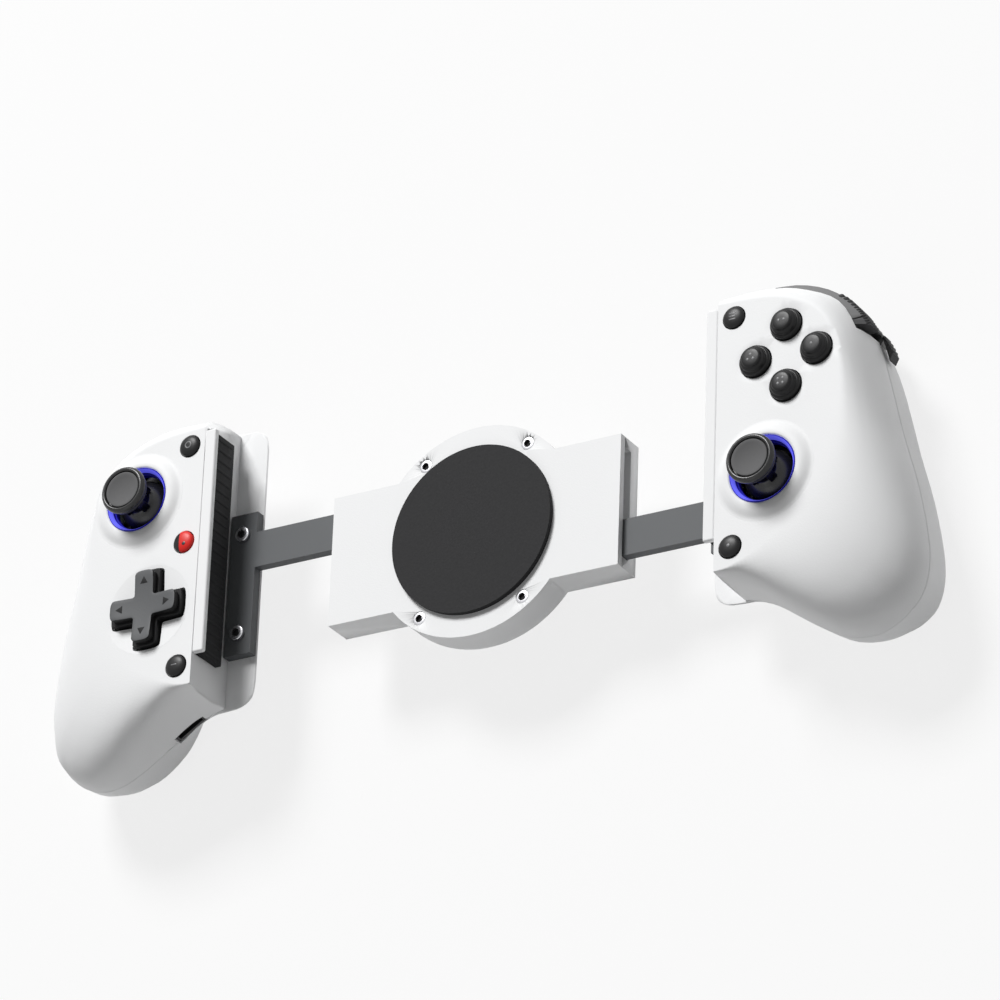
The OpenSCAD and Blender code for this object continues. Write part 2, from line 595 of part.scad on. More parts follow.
// Centre hub with the arms that carry the grips
hub_at = [0, -hub_drop];
hub_facets = 128;
plate_t = 2;
plate_z = seam_z + arm_t + arm_gap;
phone_gap = 0.1;
hub_pad_t = phone_back_z - phone_gap - plate_z - plate_t;
hub_wall = 2;
hub_rim = 6;
hub_rim_steps = 8;
hub_cavity_r = hub_r - hub_rim;
sleeve_deep = 4;
sleeve_z = seam_z - sleeve_deep;
hub_screw_d = 1.8;
hub_screw_head_d = 3.6;
hub_screw_sink = 0.2;
hub_screw_edge = 3;
hub_screws_at = [for (a = [55, 125, 235, 305]) hub_at + (hub_r - hub_screw_edge) * [cos(a), sin(a)]];
rack_module = 1;
rack_pitch = PI * rack_module;
rack_height = 1.5;
rack_clear = 0.8;
rack_root = pinion_r + rack_clear;
rack_foot = 0.85;
rack_tip = 0.35;
rack_first = -5;
rack_last = 4;
guide_h = 2 * (rack_root + arm_w + arm_gap);
arm_screw_d = 2;
arm_screw_head_h = 1;
arm_screw_len = 2.5;
arm_screw_x = inner_x - tongue_len / 2;
arm_screws_y = [-20, 8];
flange_y = [-26, 14];
flange_gap = 0.4;
axle_d = 3;
axle_step = 1;
module hub_outline() translate(hub_at) {
    circle(r = hub_r, $fn = hub_facets);
    square([sleeve_len, sleeve_h], center = true);
}
function rim_at(i) = let (t = 90 * i / hub_rim_steps)
    [hub_cavity_r + hub_rim * sin(t), hub_z + hub_rim - hub_rim * cos(t)];
module hub_back_cover() color("whitesmoke") difference() {
    union() {
        at(hub_at) rotate_extrude($fn = hub_facets) polygon(concat([[0, hub_z]],
            [for (i = [0:hub_rim_steps]) rim_at(i)], [[hub_r, plate_z], [0, plate_z]]));
        at(hub_at) bar([sleeve_len, sleeve_h], sleeve_z, plate_z);
    }
    at(hub_at, hub_z + hub_wall) cylinder(r = hub_cavity_r, h = plate_z);
    at(hub_at) bar([sleeve_len + 2, guide_h], seam_z - arm_gap, plate_z + 1);
    for (p = hub_screws_at) at(p, sleeve_z) cylinder(d = hub_screw_d + 2 * screw_gap, h = plate_z);
}
module hub_front_plate() color("whitesmoke") difference() {
    translate([0, 0, plate_z]) linear_extrude(plate_t) hub_outline();
    for (p = hub_screws_at) {
        at(p) cylinder(d = hub_screw_d + 2 * screw_gap, h = phone_front_z);
        at(p, plate_z + hub_screw_sink) cylinder(d = hub_screw_head_d + 4 * screw_gap, h = phone_front_z);
    }
}
module hub_pad() color([0.15, 0.15, 0.15]) at(hub_at, plate_z + plate_t)
    cylinder(r = hub_cavity_r, h = hub_pad_t);
module hub_screws() color("dimgray") for (p = hub_screws_at) {
    at(p, plate_z + hub_screw_sink) cylinder(d = hub_screw_head_d, h = plate_t - hub_screw_sink);
    at(p, sleeve_z + hub_screw_sink) cylinder(d = hub_screw_d, h = plate_z - sleeve_z);
}
module pinion_axle() color("silver") at(hub_at, hub_z + hub_wall) {
    cylinder(d = axle_d + 2 * axle_step, h = seam_z - hub_z - hub_wall);
    cylinder(d = axle_d, h = plate_z - hub_z - hub_wall);
}
pinion_teeth = 8;
pinion_tooth = [0.75, 0.5, 0.3];
pinion_addendum = 0.6;
pinion_core_r = pinion_r - rack_module;
module sync_pinion() color("gold") at(hub_at, seam_z + arm_gap) difference() {
    linear_extrude(arm_t - arm_gap) {
        circle(r = pinion_core_r);
        for (k = [0:pinion_teeth - 1]) rotate(360 * (k + 0.5) / pinion_teeth)
            polygon([[pinion_r / 2, -pinion_tooth[0]], [pinion_r, -pinion_tooth[1]],
                [pinion_r + pinion_addendum, -pinion_tooth[2]],
                [pinion_r + pinion_addendum, pinion_tooth[2]],
                [pinion_r, pinion_tooth[1]], [pinion_r / 2, pinion_tooth[0]]]);
    }
    translate([0, 0, -1]) cylinder(d = axle_d + 2 * fit, h = 2 * arm_t);
}
// Sliding arm of one grip: the left one runs above the pinion and the right one below it
module rack_tooth() polygon([[-rack_foot, eps], [-rack_tip, -rack_height], [rack_tip, -rack_height],
    [rack_foot, eps]]);
module arm(side) color("slategray") difference() {
    translate([0, 0, seam_z]) linear_extrude(arm_t) {
        translate(hub_at) mirror([0, side > 0 ? 0 : 1]) {
            translate([-arm_past, rack_root]) square([arm_past + tongue_x + 2, arm_w]);
            for (k = [rack_first:rack_last]) translate([k * rack_pitch, rack_root]) rack_tooth();
        }
        translate([tongue_x + flange_gap, flange_y[0]])
            square([tongue_len - 2 * flange_gap, flange_y[1] - flange_y[0]]);
    }
    for (y = arm_screws_y) at([arm_screw_x, y], seam_z - 1)
        cylinder(d = arm_screw_d + 2 * screw_gap, h = 2 * arm_t);
}
module arm_screws() color("dimgray") for (y = arm_screws_y) {
    at([arm_screw_x, y], seam_z + arm_t) cylinder(d = 2 * arm_screw_d, h = arm_screw_head_h);
    at([arm_screw_x, y], seam_z - arm_screw_len) cylinder(d = arm_screw_d, h = arm_screw_len + arm_t + eps);
}

// Inside pieces
battery_size = [10, 36, 6];
battery_at = [inner_x + 13.2, -8];
module battery() color("steelblue") at(battery_at) bar(battery_size, board_z - battery_size[2], board_z);
module charge_port() color("silver") at_port() difference() {
    translate([0, -port_size[1] / 2 - port_reach, -port_size[2] / 2]) slab(port_size);
    translate([0, -port_size[1] / 2 + port_reach, -port_size[2] / 2 + port_wall])
        slab(port_size - [2 * port_wall, 0, 2 * port_wall]);
}

left_switches_at = [upper_small_at, lower_small_at, capture_at];
right_switches_at = concat([upper_small_at, lower_small_at], [for (k = [0:3]) face_button_at(k)]);
module left_cuts() {
    bore(capture_at, small_button_d + 2 * button_gap);
    dish_cut();
    cross_cut();
    port_cut();
}
module right_cuts() {
    for (k = [0:3]) bore(face_button_at(k), face_button_d + 2 * button_gap);
    lobes_cut();
}

hub() hub_back_cover();
hub() hub_front_plate();
hub() hub_pad();
hub() hub_screws();
hub() pinion_axle();
hub() sync_pinion();
left() front_shell(left_stick_at) left_cuts();  // left_front_shell
left() back_shell(true);  // left_back_shell
left() board(true);  // left_board
left() shell_screws();  // left_shell_screws
left() clamp_lip();  // left_clamp_lip
left() clamp_pad();  // left_clamp_pad
left() arm(1);  // left_arm
left() arm_screws();  // left_arm_screws
left() stick_ring(left_stick_at);  // left_stick_ring
left() stick_housing(left_stick_at);  // left_stick_housing
left() stick_yoke(left_stick_at);  // left_stick_yoke
left() stick_pivot(left_stick_at);  // left_stick_pivot
left() stick_lever(left_stick_at);  // left_stick_lever
left() stick_cap(left_stick_at);  // left_stick_cap
left() bumper();  // left_bumper
left() bumper_pin();  // left_bumper_pin
left() trigger();  // left_trigger
left() trigger_pin();  // left_trigger_pin
left() trigger_bracket();  // left_trigger_bracket
left() switches(left_switches_at);  // left_switches
left() small_button(upper_small_at);  // left_upper_button
left() small_button(lower_small_at);  // left_lower_button
left() capture_button();
left() dpad();
left() dpad_rocker();
left() dpad_cradle();
left() charge_port();
left() battery();
right() front_shell(right_stick_at) right_cuts();  // right_front_shell
right() back_shell(false);  // right_back_shell
right() board(false);  // right_board
right() shell_screws();  // right_shell_screws
right() clamp_lip();  // right_clamp_lip
right() clamp_pad();  // right_clamp_pad
right() arm(-1);  // right_arm
right() arm_screws();  // right_arm_screws
right() stick_ring(right_stick_at);  // right_stick_ring
right() stick_housing(right_stick_at);  // right_stick_housing
right() stick_yoke(right_stick_at);  // right_stick_yoke
right() stick_pivot(right_stick_at);  // right_stick_pivot
right() stick_lever(right_stick_at);  // right_stick_lever
right() stick_cap(right_stick_at);  // right_stick_cap
right() bumper();  // right_bumper
right() bumper_pin();  // right_bumper_pin
right() trigger();  // right_trigger
right() trigger_pin();  // right_trigger_pin
right() trigger_bracket();  // right_trigger_bracket
right() switches(right_switches_at);  // right_switches
right() small_button(upper_small_at);  // right_upper_button
right() small_button(lower_small_at);  // right_lower_button
right() face_button(0);  // face_button_right
right() face_button(1);  // face_button_top
right() face_button(2);  // face_button_left
right() face_button(3);  // face_button_bottom
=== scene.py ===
import math
import bpy
from mathutils import Matrix, Vector


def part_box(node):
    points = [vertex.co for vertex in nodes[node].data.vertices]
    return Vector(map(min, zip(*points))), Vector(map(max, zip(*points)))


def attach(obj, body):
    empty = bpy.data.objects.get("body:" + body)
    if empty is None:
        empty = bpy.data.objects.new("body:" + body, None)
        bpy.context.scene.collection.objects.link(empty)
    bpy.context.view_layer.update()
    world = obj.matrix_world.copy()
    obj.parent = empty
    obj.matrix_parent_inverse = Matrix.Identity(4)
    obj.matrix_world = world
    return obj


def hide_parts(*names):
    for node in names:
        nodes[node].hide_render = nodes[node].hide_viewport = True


bl_info = {
    "name": "Stretch-fit game controller",
    "version": (1, 0, 0),
    "blender": (4, 5, 0),
    "location": "View3D > Sidebar > Controller",
    "description": "Dresses the controller's solids with finished shells, sticks, buttons and grips",
    "category": "Object",
}

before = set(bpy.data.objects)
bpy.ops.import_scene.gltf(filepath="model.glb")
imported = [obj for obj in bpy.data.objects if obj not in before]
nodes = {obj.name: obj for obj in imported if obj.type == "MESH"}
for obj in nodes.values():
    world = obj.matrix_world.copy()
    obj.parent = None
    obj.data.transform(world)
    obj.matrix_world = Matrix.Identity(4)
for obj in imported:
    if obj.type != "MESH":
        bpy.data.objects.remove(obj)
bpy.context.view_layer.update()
MM = 0.001
SIDES = ("left", "right")
# Distances in metres: one that counts as none, and one that a merge closes
TINY = 1e-6
MERGE = 2e-6


def corners(node):
    """The lowest and highest corner of a solid's box."""
    return [Vector(corner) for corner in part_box(node)]


def mid(node):
    """The middle of a solid's box."""
    low, high = corners(node)
    return (low + high) / 2


def top(node):
    """The height of a solid's highest point."""
    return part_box(node)[1][2]


# Levels and places that the pieces are measured from
PAD_OFFSET = 1.5 * MM
BAY_DROP = 2.7 * MM
face_height = top("right_clamp_lip")
bay_middle = mid("left_clamp_pad").y - PAD_OFFSET
bay_height = face_height - BAY_DROP
wall_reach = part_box("right_clamp_pad")[1][0]

# Outer edges of bumper and trigger in plan, in millimetres from the bay's end wall and its middle
BUMPER_EDGE = ((11.2, 40.4), (18, 39.6), (25, 37), (30.5, 33.2), (34, 29.4), (35.9, 26.9), (37.4, 24.2))
TRIGGER_EDGE = ((13.4, 39.6), (19, 38.9), (25.2, 36.6), (30.6, 32.8), (34.8, 28), (38.2, 22.6), (40.2, 18))
# The trigger's pin and direction in plan, its ends along that direction, and its taper in degrees
TRIGGER_PIN = (23.72, 26.06)
TRIGGER_CHORD = (0.7601, -0.6498)
TRIGGER_ENDS = (11.3, -16.3)
TRIGGER_TAPER = 20
# Depth under the outer edge in millimetres, and share of the height, down the trigger's face
TRIGGER_CURVE = ((0, 1), (0.9, 0.63), (1.3, 0.36), (1, 0.12), (1.8, 0))
TRIGGER_STEPS = 10
TRIGGER_DROP = 0.15 * MM
# Rows of the ribbed skins, in millimetres, and the shares of the edge that they cover
TRIGGER_SHARES = (0.03, 0.97)
BUMPER_ROWS = (5.05, 4.95, 4.72, 4.4, 2.3, 0.5, 0.35)
BUMPER_DEPTHS = (0.75, 0.5, 0.02, 0, 0, 0, 0)
BUMPER_SHARES = (0.45, 0.985)
BUMPER_CREST = 2
WING_SHARES = (0.765, 0.925)
WING_ROWS = (-0.2, -0.35, -1.7, -3.05, -3.2)


class ShapeSettings(bpy.types.PropertyGroup):
    """Sizes of the finished pieces."""
    lip_round: bpy.props.FloatProperty(name="Lip rounding", description="Rounding of the clamp lips' edges",
                                       default=0.55 * MM, unit="LENGTH")
    pad_ribs: bpy.props.IntProperty(name="Pad ribs", description="Grip ribs on each clamp pad", default=22)
    rib_pitch: bpy.props.FloatProperty(name="Rib pitch", description="Distance between the shoulder ribs",
                                       default=1.45 * MM, unit="LENGTH")
    rib_rise: bpy.props.FloatProperty(name="Rib height", description="Height of the shoulder ribs",
                                      default=0.45 * MM, unit="LENGTH")
    cap_hollow: bpy.props.FloatProperty(name="Cap hollow", description="Depth of the hollow in a stick's cap",
                                        default=1.1 * MM, unit="LENGTH")
    face_button: bpy.props.FloatProperty(name="Face button", description="Radius of the four face buttons",
                                         default=4.12 * MM, unit="LENGTH")
    small_button: bpy.props.FloatProperty(name="Small button", description="Radius of the small buttons",
                                          default=2.87 * MM, unit="LENGTH")
    cross_arm: bpy.props.FloatProperty(name="Cross arm", description="Width of the direction pad's arms",
                                       default=7.2 * MM, unit="LENGTH")
    cross_hollow: bpy.props.FloatProperty(name="Cross hollow", default=0.5 * MM, unit="LENGTH",
                                          description="Depth of the direction pad's hollow")
    round_steps: bpy.props.IntProperty(name="Round steps", description="Facets round a turned piece",
                                       default=96)


class FinishSettings(bpy.types.PropertyGroup):
    """Colours of the finished pieces."""
    shell: bpy.props.FloatVectorProperty(name="Shell", description="Satin shells", subtype="COLOR",
                                         default=(0.86, 0.865, 0.87))
    rubber: bpy.props.FloatVectorProperty(name="Rubber", description="Clamp pads and hub pad",
                                          subtype="COLOR", default=(0.012, 0.012, 0.013))
    button: bpy.props.FloatVectorProperty(name="Buttons", description="Round buttons", subtype="COLOR",
                                          default=(0.009, 0.009, 0.0095))
    # The cross top's grey is black plastic lightened on its upward faces as a painted reflection
    cross: bpy.props.FloatVectorProperty(name="Cross", description="Direction pad", subtype="COLOR",
                                         default=(0.085, 0.088, 0.092))
    bumper: bpy.props.FloatVectorProperty(name="Bumper", description="Sloping top of the bumpers",
                                          subtype="COLOR", default=(0.19, 0.19, 0.192))
    trigger: bpy.props.FloatVectorProperty(name="Trigger", description="Triggers and ribs", subtype="COLOR",
                                           default=(0.02, 0.02, 0.021))
    stick: bpy.props.FloatVectorProperty(name="Stick", description="Body of the sticks", subtype="COLOR",
                                         default=(0.007, 0.007, 0.0075))
    # The hollow top's grey is black plastic lightened as a painted reflection
    cap: bpy.props.FloatVectorProperty(name="Cap", description="Hollow top of the sticks", subtype="COLOR",
                                       default=(0.125, 0.125, 0.127))
    # The ring's bevel blue is lightened and made to glow as a painted highlight, and its wall's deep blue is
    # painted shade
    ring: bpy.props.FloatVectorProperty(name="Ring", description="Bright bevel of the ring", subtype="COLOR",
                                        default=(0.14, 0.145, 0.97))
    ring_wall_painted_shade: bpy.props.FloatVectorProperty(name="Ring wall", description="Deep blue wall of the ring",
                                             subtype="COLOR", default=(0.012, 0.01, 0.5))
    red: bpy.props.FloatVectorProperty(name="Red", description="Capture button", subtype="COLOR",
                                       default=(0.72, 0.02, 0.015))


def shape():
    """The sizes that a user may change."""
    return bpy.context.scene.controller_shape


def finish():
    """The colours that a user may change."""
    return bpy.context.scene.controller_finish


# Modelling steps

def clear_selection():
    """Leaves edit mode and deselects everything."""
    if bpy.context.object and bpy.context.object.mode != "OBJECT":
        bpy.ops.object.mode_set(mode="OBJECT")
    bpy.ops.object.select_all(action="DESELECT")


def pick(obj):
    """Selects one object and makes it active."""
    clear_selection()
    obj.select_set(True)
    bpy.context.view_layer.objects.active = obj


def settle(obj, name):
    """Puts the object's place into its mesh."""
    pick(obj)
    bpy.ops.object.transform_apply(location=True, rotation=True, scale=True)
    obj.name = name
    obj.data.name = name
    return obj


def choose(obj, test, kind="FACE"):
    """Selects the faces or edges that a test accepts, and goes to edit mode."""
    pick(obj)
    bpy.ops.object.mode_set(mode="EDIT")
    bpy.ops.mesh.select_mode(type=kind)
    bpy.ops.mesh.select_all(action="DESELECT")
    bpy.ops.object.mode_set(mode="OBJECT")
    mesh = obj.data
    if kind == "FACE":
        for face in mesh.polygons:
            face.select = test(face)
    else:
        for edge in mesh.edges:
            edge.select = test(mesh.vertices[edge.vertices[0]].co, mesh.vertices[edge.vertices[1]].co)
    bpy.ops.object.mode_set(mode="EDIT")


def smooth(obj, angle=32):
    """Shades edges smooth up to an angle in degrees."""
    pick(obj)
    bpy.ops.object.shade_smooth_by_angle(angle=math.radians(angle))


def level_normals(obj, flat=None):
    """Keeps flat faces flat beside rounded ones, and those that a test names level all over."""
    if flat:
        choose(obj, flat)
        bpy.ops.mesh.mod_weighted_strength(set=True, face_strength="STRONG")
    pick(obj)
    level = obj.modifiers.new("level", "WEIGHTED_NORMAL")
    level.keep_sharp = True
    level.use_face_influence = flat is not None
    bpy.ops.object.modifier_apply(modifier="level")


def round_edges(obj, width, segments=3, angle=30):
    """Rounds the edges that are sharper than an angle in degrees."""
    pick(obj)
    bevel = obj.modifiers.new("round", "BEVEL")
    bevel.width = width
    bevel.segments = segments
    bevel.limit_method = "ANGLE"
    bevel.angle_limit = math.radians(angle)
    bevel.loop_slide = False
    bpy.ops.object.modifier_apply(modifier="round")


def edit_all(obj):
    """Goes to edit mode with the whole mesh selected."""
    pick(obj)
    bpy.ops.object.mode_set(mode="EDIT")
    bpy.ops.mesh.select_all(action="SELECT")


def face_outwards():
    """Turns all faces of the mesh in edit mode outwards, and leaves edit mode."""
    bpy.ops.mesh.select_all(action="SELECT")
    bpy.ops.mesh.normals_make_consistent(inside=False)
    bpy.ops.object.mode_set(mode="OBJECT")


def draw_out(x, y, z):
    """Extrudes what is selected."""
    bpy.ops.mesh.extrude_region_move(TRANSFORM_OT_translate={"value": (x, y, z)})


def scaled(profile, level, across=MM, up=MM):
    """A profile's radii and heights in metres, the heights from a level."""
    return [(r * across, level + h * up) for r, h in profile]


def turned(name, at, profile, steps=None):
    """A turned piece: a disc at the first radius and height, drawn up through the rest of the profile."""
    clear_selection()
    r, z = profile[0]
    bpy.ops.mesh.primitive_circle_add(vertices=steps or shape().round_steps, radius=r, fill_type="NGON",
                                      location=(at[0], at[1], z))
    obj = settle(bpy.context.object, name)
    bpy.ops.object.mode_set(mode="EDIT")
    bpy.ops.mesh.select_mode(type="FACE")
    bpy.ops.mesh.select_all(action="SELECT")
    for r_next, z_next in profile[1:]:
        draw_out(0, 0, z_next - z)
        if abs(r_next - r) > TINY:
            grow = r_next / r
            bpy.ops.transform.resize(value=(grow, grow, 1), center_override=(at[0], at[1], z_next))
        r, z = r_next, z_next
    face_outwards()
    return obj


# Corners that the sides of a turned piece stay under, and the gap between its ends
SIDE_CORNERS = 8
END_GAP = 0.06 * MM


def open_ends(obj):
    """Takes off the end discs of a turned piece and closes the seam between them."""
    choose(obj, lambda f: len(f.vertices) > SIDE_CORNERS)
    bpy.ops.mesh.delete(type="FACE")
    bpy.ops.mesh.select_all(action="SELECT")
    bpy.ops.mesh.remove_doubles(threshold=END_GAP)
    face_outwards()


def block(name, low, high, width, segments=3):
    """A box between two corners with rounded edges."""
    clear_selection()
    low, high = Vector(low), Vector(high)
    bpy.ops.mesh.primitive_cube_add(size=1, location=(low + high) / 2)
    bpy.context.object.scale = high - low
    obj = settle(bpy.context.object, name)
    round_edges(obj, width, segments)
    return obj


def solid_copy(node, name):
    """A merged copy of a solid's mesh, free of its body."""
    clear_selection()
    obj = nodes[node].copy()
    obj.data = nodes[node].data.copy()
    bpy.context.collection.objects.link(obj)
    obj.parent = None
    obj.matrix_world = Matrix.Identity(4)
    obj.hide_set(False)
    obj.hide_render = False
    obj.name = obj.data.name = name
    edit_all(obj)
    bpy.ops.mesh.remove_doubles(threshold=MERGE)
    bpy.ops.object.mode_set(mode="OBJECT")
    return obj


def slice_off(obj, place, normal, **sides):
    """Cuts a mesh along a plane."""
    edit_all(obj)
    bpy.ops.mesh.bisect(plane_co=place, plane_no=normal, **sides)
    bpy.ops.object.mode_set(mode="OBJECT")


def carve(obj, cutter):
    """Takes a cutter's shape out of a piece."""
    cut = obj.modifiers.new("cut", "BOOLEAN")
    cut.operation = "DIFFERENCE"
    cut.solver = "MANIFOLD"
    cut.object = cutter
    pick(obj)
    bpy.ops.object.modifier_apply(modifier="cut")
    bpy.data.objects.remove(cutter)
    if not obj.data.polygons:
        raise RuntimeError(f"nothing is left of {obj.name}")


def join(objs, name):
    """Makes one named piece of several."""
    clear_selection()
    for obj in objs:
        obj.select_set(True)
    bpy.context.view_layer.objects.active = objs[0]
    if len(objs) > 1:
        bpy.ops.object.join()
    objs[0].name = objs[0].data.name = name
    return objs[0]


def copy_of(obj, matrix):
    """A copy with its own mesh, moved by a matrix."""
    twin = obj.copy()
    twin.data = obj.data.copy()
    bpy.context.collection.objects.link(twin)
    twin.data.transform(matrix)
    return twin


def paint(obj, *materials):
    """Gives a piece its materials, in the order of its slots."""
    obj.data.materials.clear()
    for material in materials:
        obj.data.materials.append(material)


def spline(points, u):
    """A point of the curve through the points, at a share u of its length in stretches."""
    last = len(points) - 1
    u = min(max(u, 0), 1) * last
    i = min(int(u), last - 1)
    t = u - i
    a, b, d, e = (Vector(points[min(max(k, 0), last)]) for k in (i - 1, i, i + 1, i + 2))
    bend = (2 * a - 5 * b + 4 * d - e) * t * t
    twist = (3 * b - a - 3 * d + e) * t ** 3
    return 0.5 * (2 * b + (d - a) * t + bend + twist)


# Materials

GRAIN_SIZE = 2600.0
DRIFT_SIZE = 40.0
GRAIN_STRENGTH = 0.6
LEAST_ROUGH = 0.02


def grain_group():
    """Fine moulded grain: a height, a speckle and a slow drift over the surface."""
    if "Moulded grain" in bpy.data.node_groups:
        return bpy.data.node_groups["Moulded grain"]
    group = bpy.data.node_groups.new("Moulded grain", "ShaderNodeTree")
    for name, value in (("Grain size", GRAIN_SIZE), ("Drift size", DRIFT_SIZE)):
        socket = group.interface.new_socket(name, in_out="INPUT", socket_type="NodeSocketFloat")
        socket.default_value = value
    for name in ("Height", "Speckle", "Drift"):
        group.interface.new_socket(name, in_out="OUTPUT", socket_type="NodeSocketFloat")
    add, link = group.nodes.new, group.links.new
    source, sink = add("NodeGroupInput"), add("NodeGroupOutput")
    place = add("ShaderNodeTexCoord")
    fine, slow, cells = add("ShaderNodeTexNoise"), add("ShaderNodeTexNoise"), add("ShaderNodeTexVoronoi")
    fine.inputs["Detail"].default_value = 3
    slow.inputs["Detail"].default_value = 4
    for texture, size in ((fine, "Grain size"), (slow, "Drift size"), (cells, "Grain size")):
        link(place.outputs["Object"], texture.inputs["Vector"])
        link(source.outputs[size], texture.inputs["Scale"])
    link(cells.outputs["Distance"], sink.inputs["Height"])
    link(fine.outputs["Fac"], sink.inputs["Speckle"])
    link(slow.outputs["Fac"], sink.inputs["Drift"])
    return group


def moulded(name, colour, rough, grain=GRAIN_SIZE, depth=0.02, tone=0.06, shift=0.06, **sockets):
    """A moulded plastic or rubber: colour and roughness drift slightly, and the grain raises the surface."""
    if name in bpy.data.materials:
        return bpy.data.materials[name]
    material = bpy.data.materials.new(name)
    material.use_nodes = True
    tree = material.node_tree
    shader = tree.nodes["Principled BSDF"]
    add, link = tree.nodes.new, tree.links.new
    grainy = add("ShaderNodeGroup")
    grainy.node_tree = grain_group()
    grainy.inputs["Grain size"].default_value = grain
    tint = add("ShaderNodeMix")
    tint.data_type = "RGBA"
    tint.inputs["A"].default_value = (*[c * (1 - tone) for c in colour], 1)
    tint.inputs["B"].default_value = (*[min(c * (1 + tone), 1) for c in colour], 1)
    link(grainy.outputs["Drift"], tint.inputs["Factor"])
    link(tint.outputs["Result"], shader.inputs["Base Color"])
    sheen = add("ShaderNodeMapRange")
    sheen.inputs["To Min"].default_value = max(rough - shift, LEAST_ROUGH)
    sheen.inputs["To Max"].default_value = min(rough + shift, 1)
    link(grainy.outputs["Speckle"], sheen.inputs["Value"])
    link(sheen.outputs["Result"], shader.inputs["Roughness"])
    bump = add("ShaderNodeBump")
    bump.inputs["Strength"].default_value = GRAIN_STRENGTH
    bump.inputs["Distance"].default_value = depth * MM
    link(grainy.outputs["Height"], bump.inputs["Height"])
    link(bump.outputs["Normal"], shader.inputs["Normal"])
    for socket, value in sockets.items():
        shader.inputs[socket.replace("_", " ")].default_value = value
    return material


def shell_white():
    return moulded("satin shell", finish().shell, 0.5, grain=2200, depth=0.02, tone=0.012,
                   Specular_IOR_Level=0.2)


def rubber_black():
    return moulded("matt rubber", finish().rubber, 0.75, grain=1600, depth=0.03, Specular_IOR_Level=0.25)


def button_black():
    return moulded("gloss button", finish().button, 0.36, grain=900, depth=0.004, Specular_IOR_Level=0.22)


def trigger_black():
    return moulded("satin black", finish().trigger, 0.42, grain=2200, depth=0.015, Specular_IOR_Level=0.3)


def bumper_grey():
    return moulded("satin grey", finish().bumper, 0.5, grain=2200, depth=0.015, Specular_IOR_Level=0.25)


def stick_black():
    return moulded("stick black", finish().stick, 0.29, grain=1800, depth=0.006, Specular_IOR_Level=0.45)


# Black plastic lightened to grey as a painted reflection on the stick's hollow top
def cap_painted_reflection():
    return moulded("cap grey painted reflection", finish().cap, 0.75, grain=2400, depth=0.02, Specular_IOR_Level=0.15)


def steel():
    return moulded("turned steel", (0.5, 0.5, 0.52), 0.32, grain=1500, depth=0.004, Metallic=1.0)


def dress(obj, body, slot, *replaced):
    """Gives a finished piece its body and hides the solids that it stands for. Its slot is not used."""
    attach(obj, body)
    if replaced:
        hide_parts(*replaced)


# The stepped recess round the face buttons, the island between them, and how exactly a face has to fit
RECESS_DEPTH = 0.3 * MM
RECESS_REACH = 6.2 * MM
ISLAND_REACH = 4.5 * MM
RECESS_SLACK = 0.02 * MM
WALL_SLACK = 0.2 * MM
LEVEL_TILT = 0.99
WALL_TILT = 0.1
FRONT_TILT = 0.9995
FRONT_SLACK = 0.01 * MM
# Raised dots on the face buttons, in millimetres from their middles
FACE_DOTS = {
    "right": ((0, 0),),
    "top": ((-0.7, 0), (0.7, 0)),
    "left": ((-0.75, -0.5), (0.75, -0.5), (0, 0.75)),
    "bottom": ((-0.65, -0.65), (0.65, -0.65), (-0.65, 0.65), (0.65, 0.65)),
}
# Profiles give radius and height in millimetres, the collar's from the face
COLLAR_PROFILE = (
    (13.5, -0.3), (13.5, 0.02), (13.1, 0.05), (12.7, 0.14), (12.3, 0.32), (11.8, 0.62), (11.2, 0.94),
    (10.6, 1.16), (10.1, 1.25), (9.6, 1.28), (9.3, 1.25), (9.12, 1.12), (9.1, 0.8),
)


def soften_recess(shell):
    """Makes one soft hollow of the stepped recess that the four face buttons share."""
    buttons = [mid(f"face_button_{place}") for place in FACE_DOTS]
    at = sum(buttons, Vector()) / len(buttons)
    floor = face_height - RECESS_DEPTH

    def stepped(face):
        middle, tilt = Vector(face.center), face.normal.z
        if tilt > LEVEL_TILT and abs(middle.z - floor) < RECESS_SLACK:
            return min((middle - b).xy.length for b in buttons) < RECESS_REACH
        if tilt > LEVEL_TILT and abs(middle.z - face_height) < RECESS_SLACK:
            return all((shell.data.vertices[v].co - at).xy.length < ISLAND_REACH for v in face.vertices)
        wall = abs(tilt) < WALL_TILT and floor - RECESS_SLACK < middle.z < face_height
        return wall and any(abs((middle - b).xy.length - RECESS_REACH) < WALL_SLACK for b in buttons)

    choose(shell, stepped)
    bpy.ops.mesh.delete(type="FACE")
    bpy.ops.mesh.select_mode(type="EDGE")
    bpy.ops.mesh.select_non_manifold()
    bpy.ops.mesh.fill(use_beauty=True)
    face_outwards()


def on_front(face):
    """Whether a face lies level on the front of a grip."""
    return face.normal.z > FRONT_TILT and face.center[2] > face_height - FRONT_SLACK


class CONTROLLER_OT_shells(bpy.types.Operator):
    """Smooth shells of both grips, with the collars round the sticks"""
    bl_idname = "controller.shells"
    bl_label = "Shells"

    def execute(self, context):
        for side in SIDES:
            for half in ("front_shell", "back_shell"):
                node = f"{side}_{half}"
                shell = solid_copy(node, f"{node}_skin")
                if node == "right_front_shell":
                    soften_recess(shell)
                smooth(shell, 34)
                level_normals(shell, on_front)
                paint(shell, shell_white())
                dress(shell, f"{side}_grip", "shell_white", node)
            at = mid(f"{side}_stick_ring")
            collar = turned(f"{side}_collar", at, scaled(COLLAR_PROFILE, face_height))
            open_ends(collar)
            smooth(collar, 60)
            paint(collar, shell_white())
            dress(collar, f"{side}_grip", "shell_white")
        return {"FINISHED"}


# Clamp pads and their ribs
PAD_ROUND = 0.3 * MM
RIB_HALF_DEPTH = 0.25 * MM
RIB_HALF_WIDTH = 0.45 * MM
RIB_MARGIN = 1.2 * MM
RIB_ROUND = 0.2 * MM
RIB_SINK = 0.1 * MM


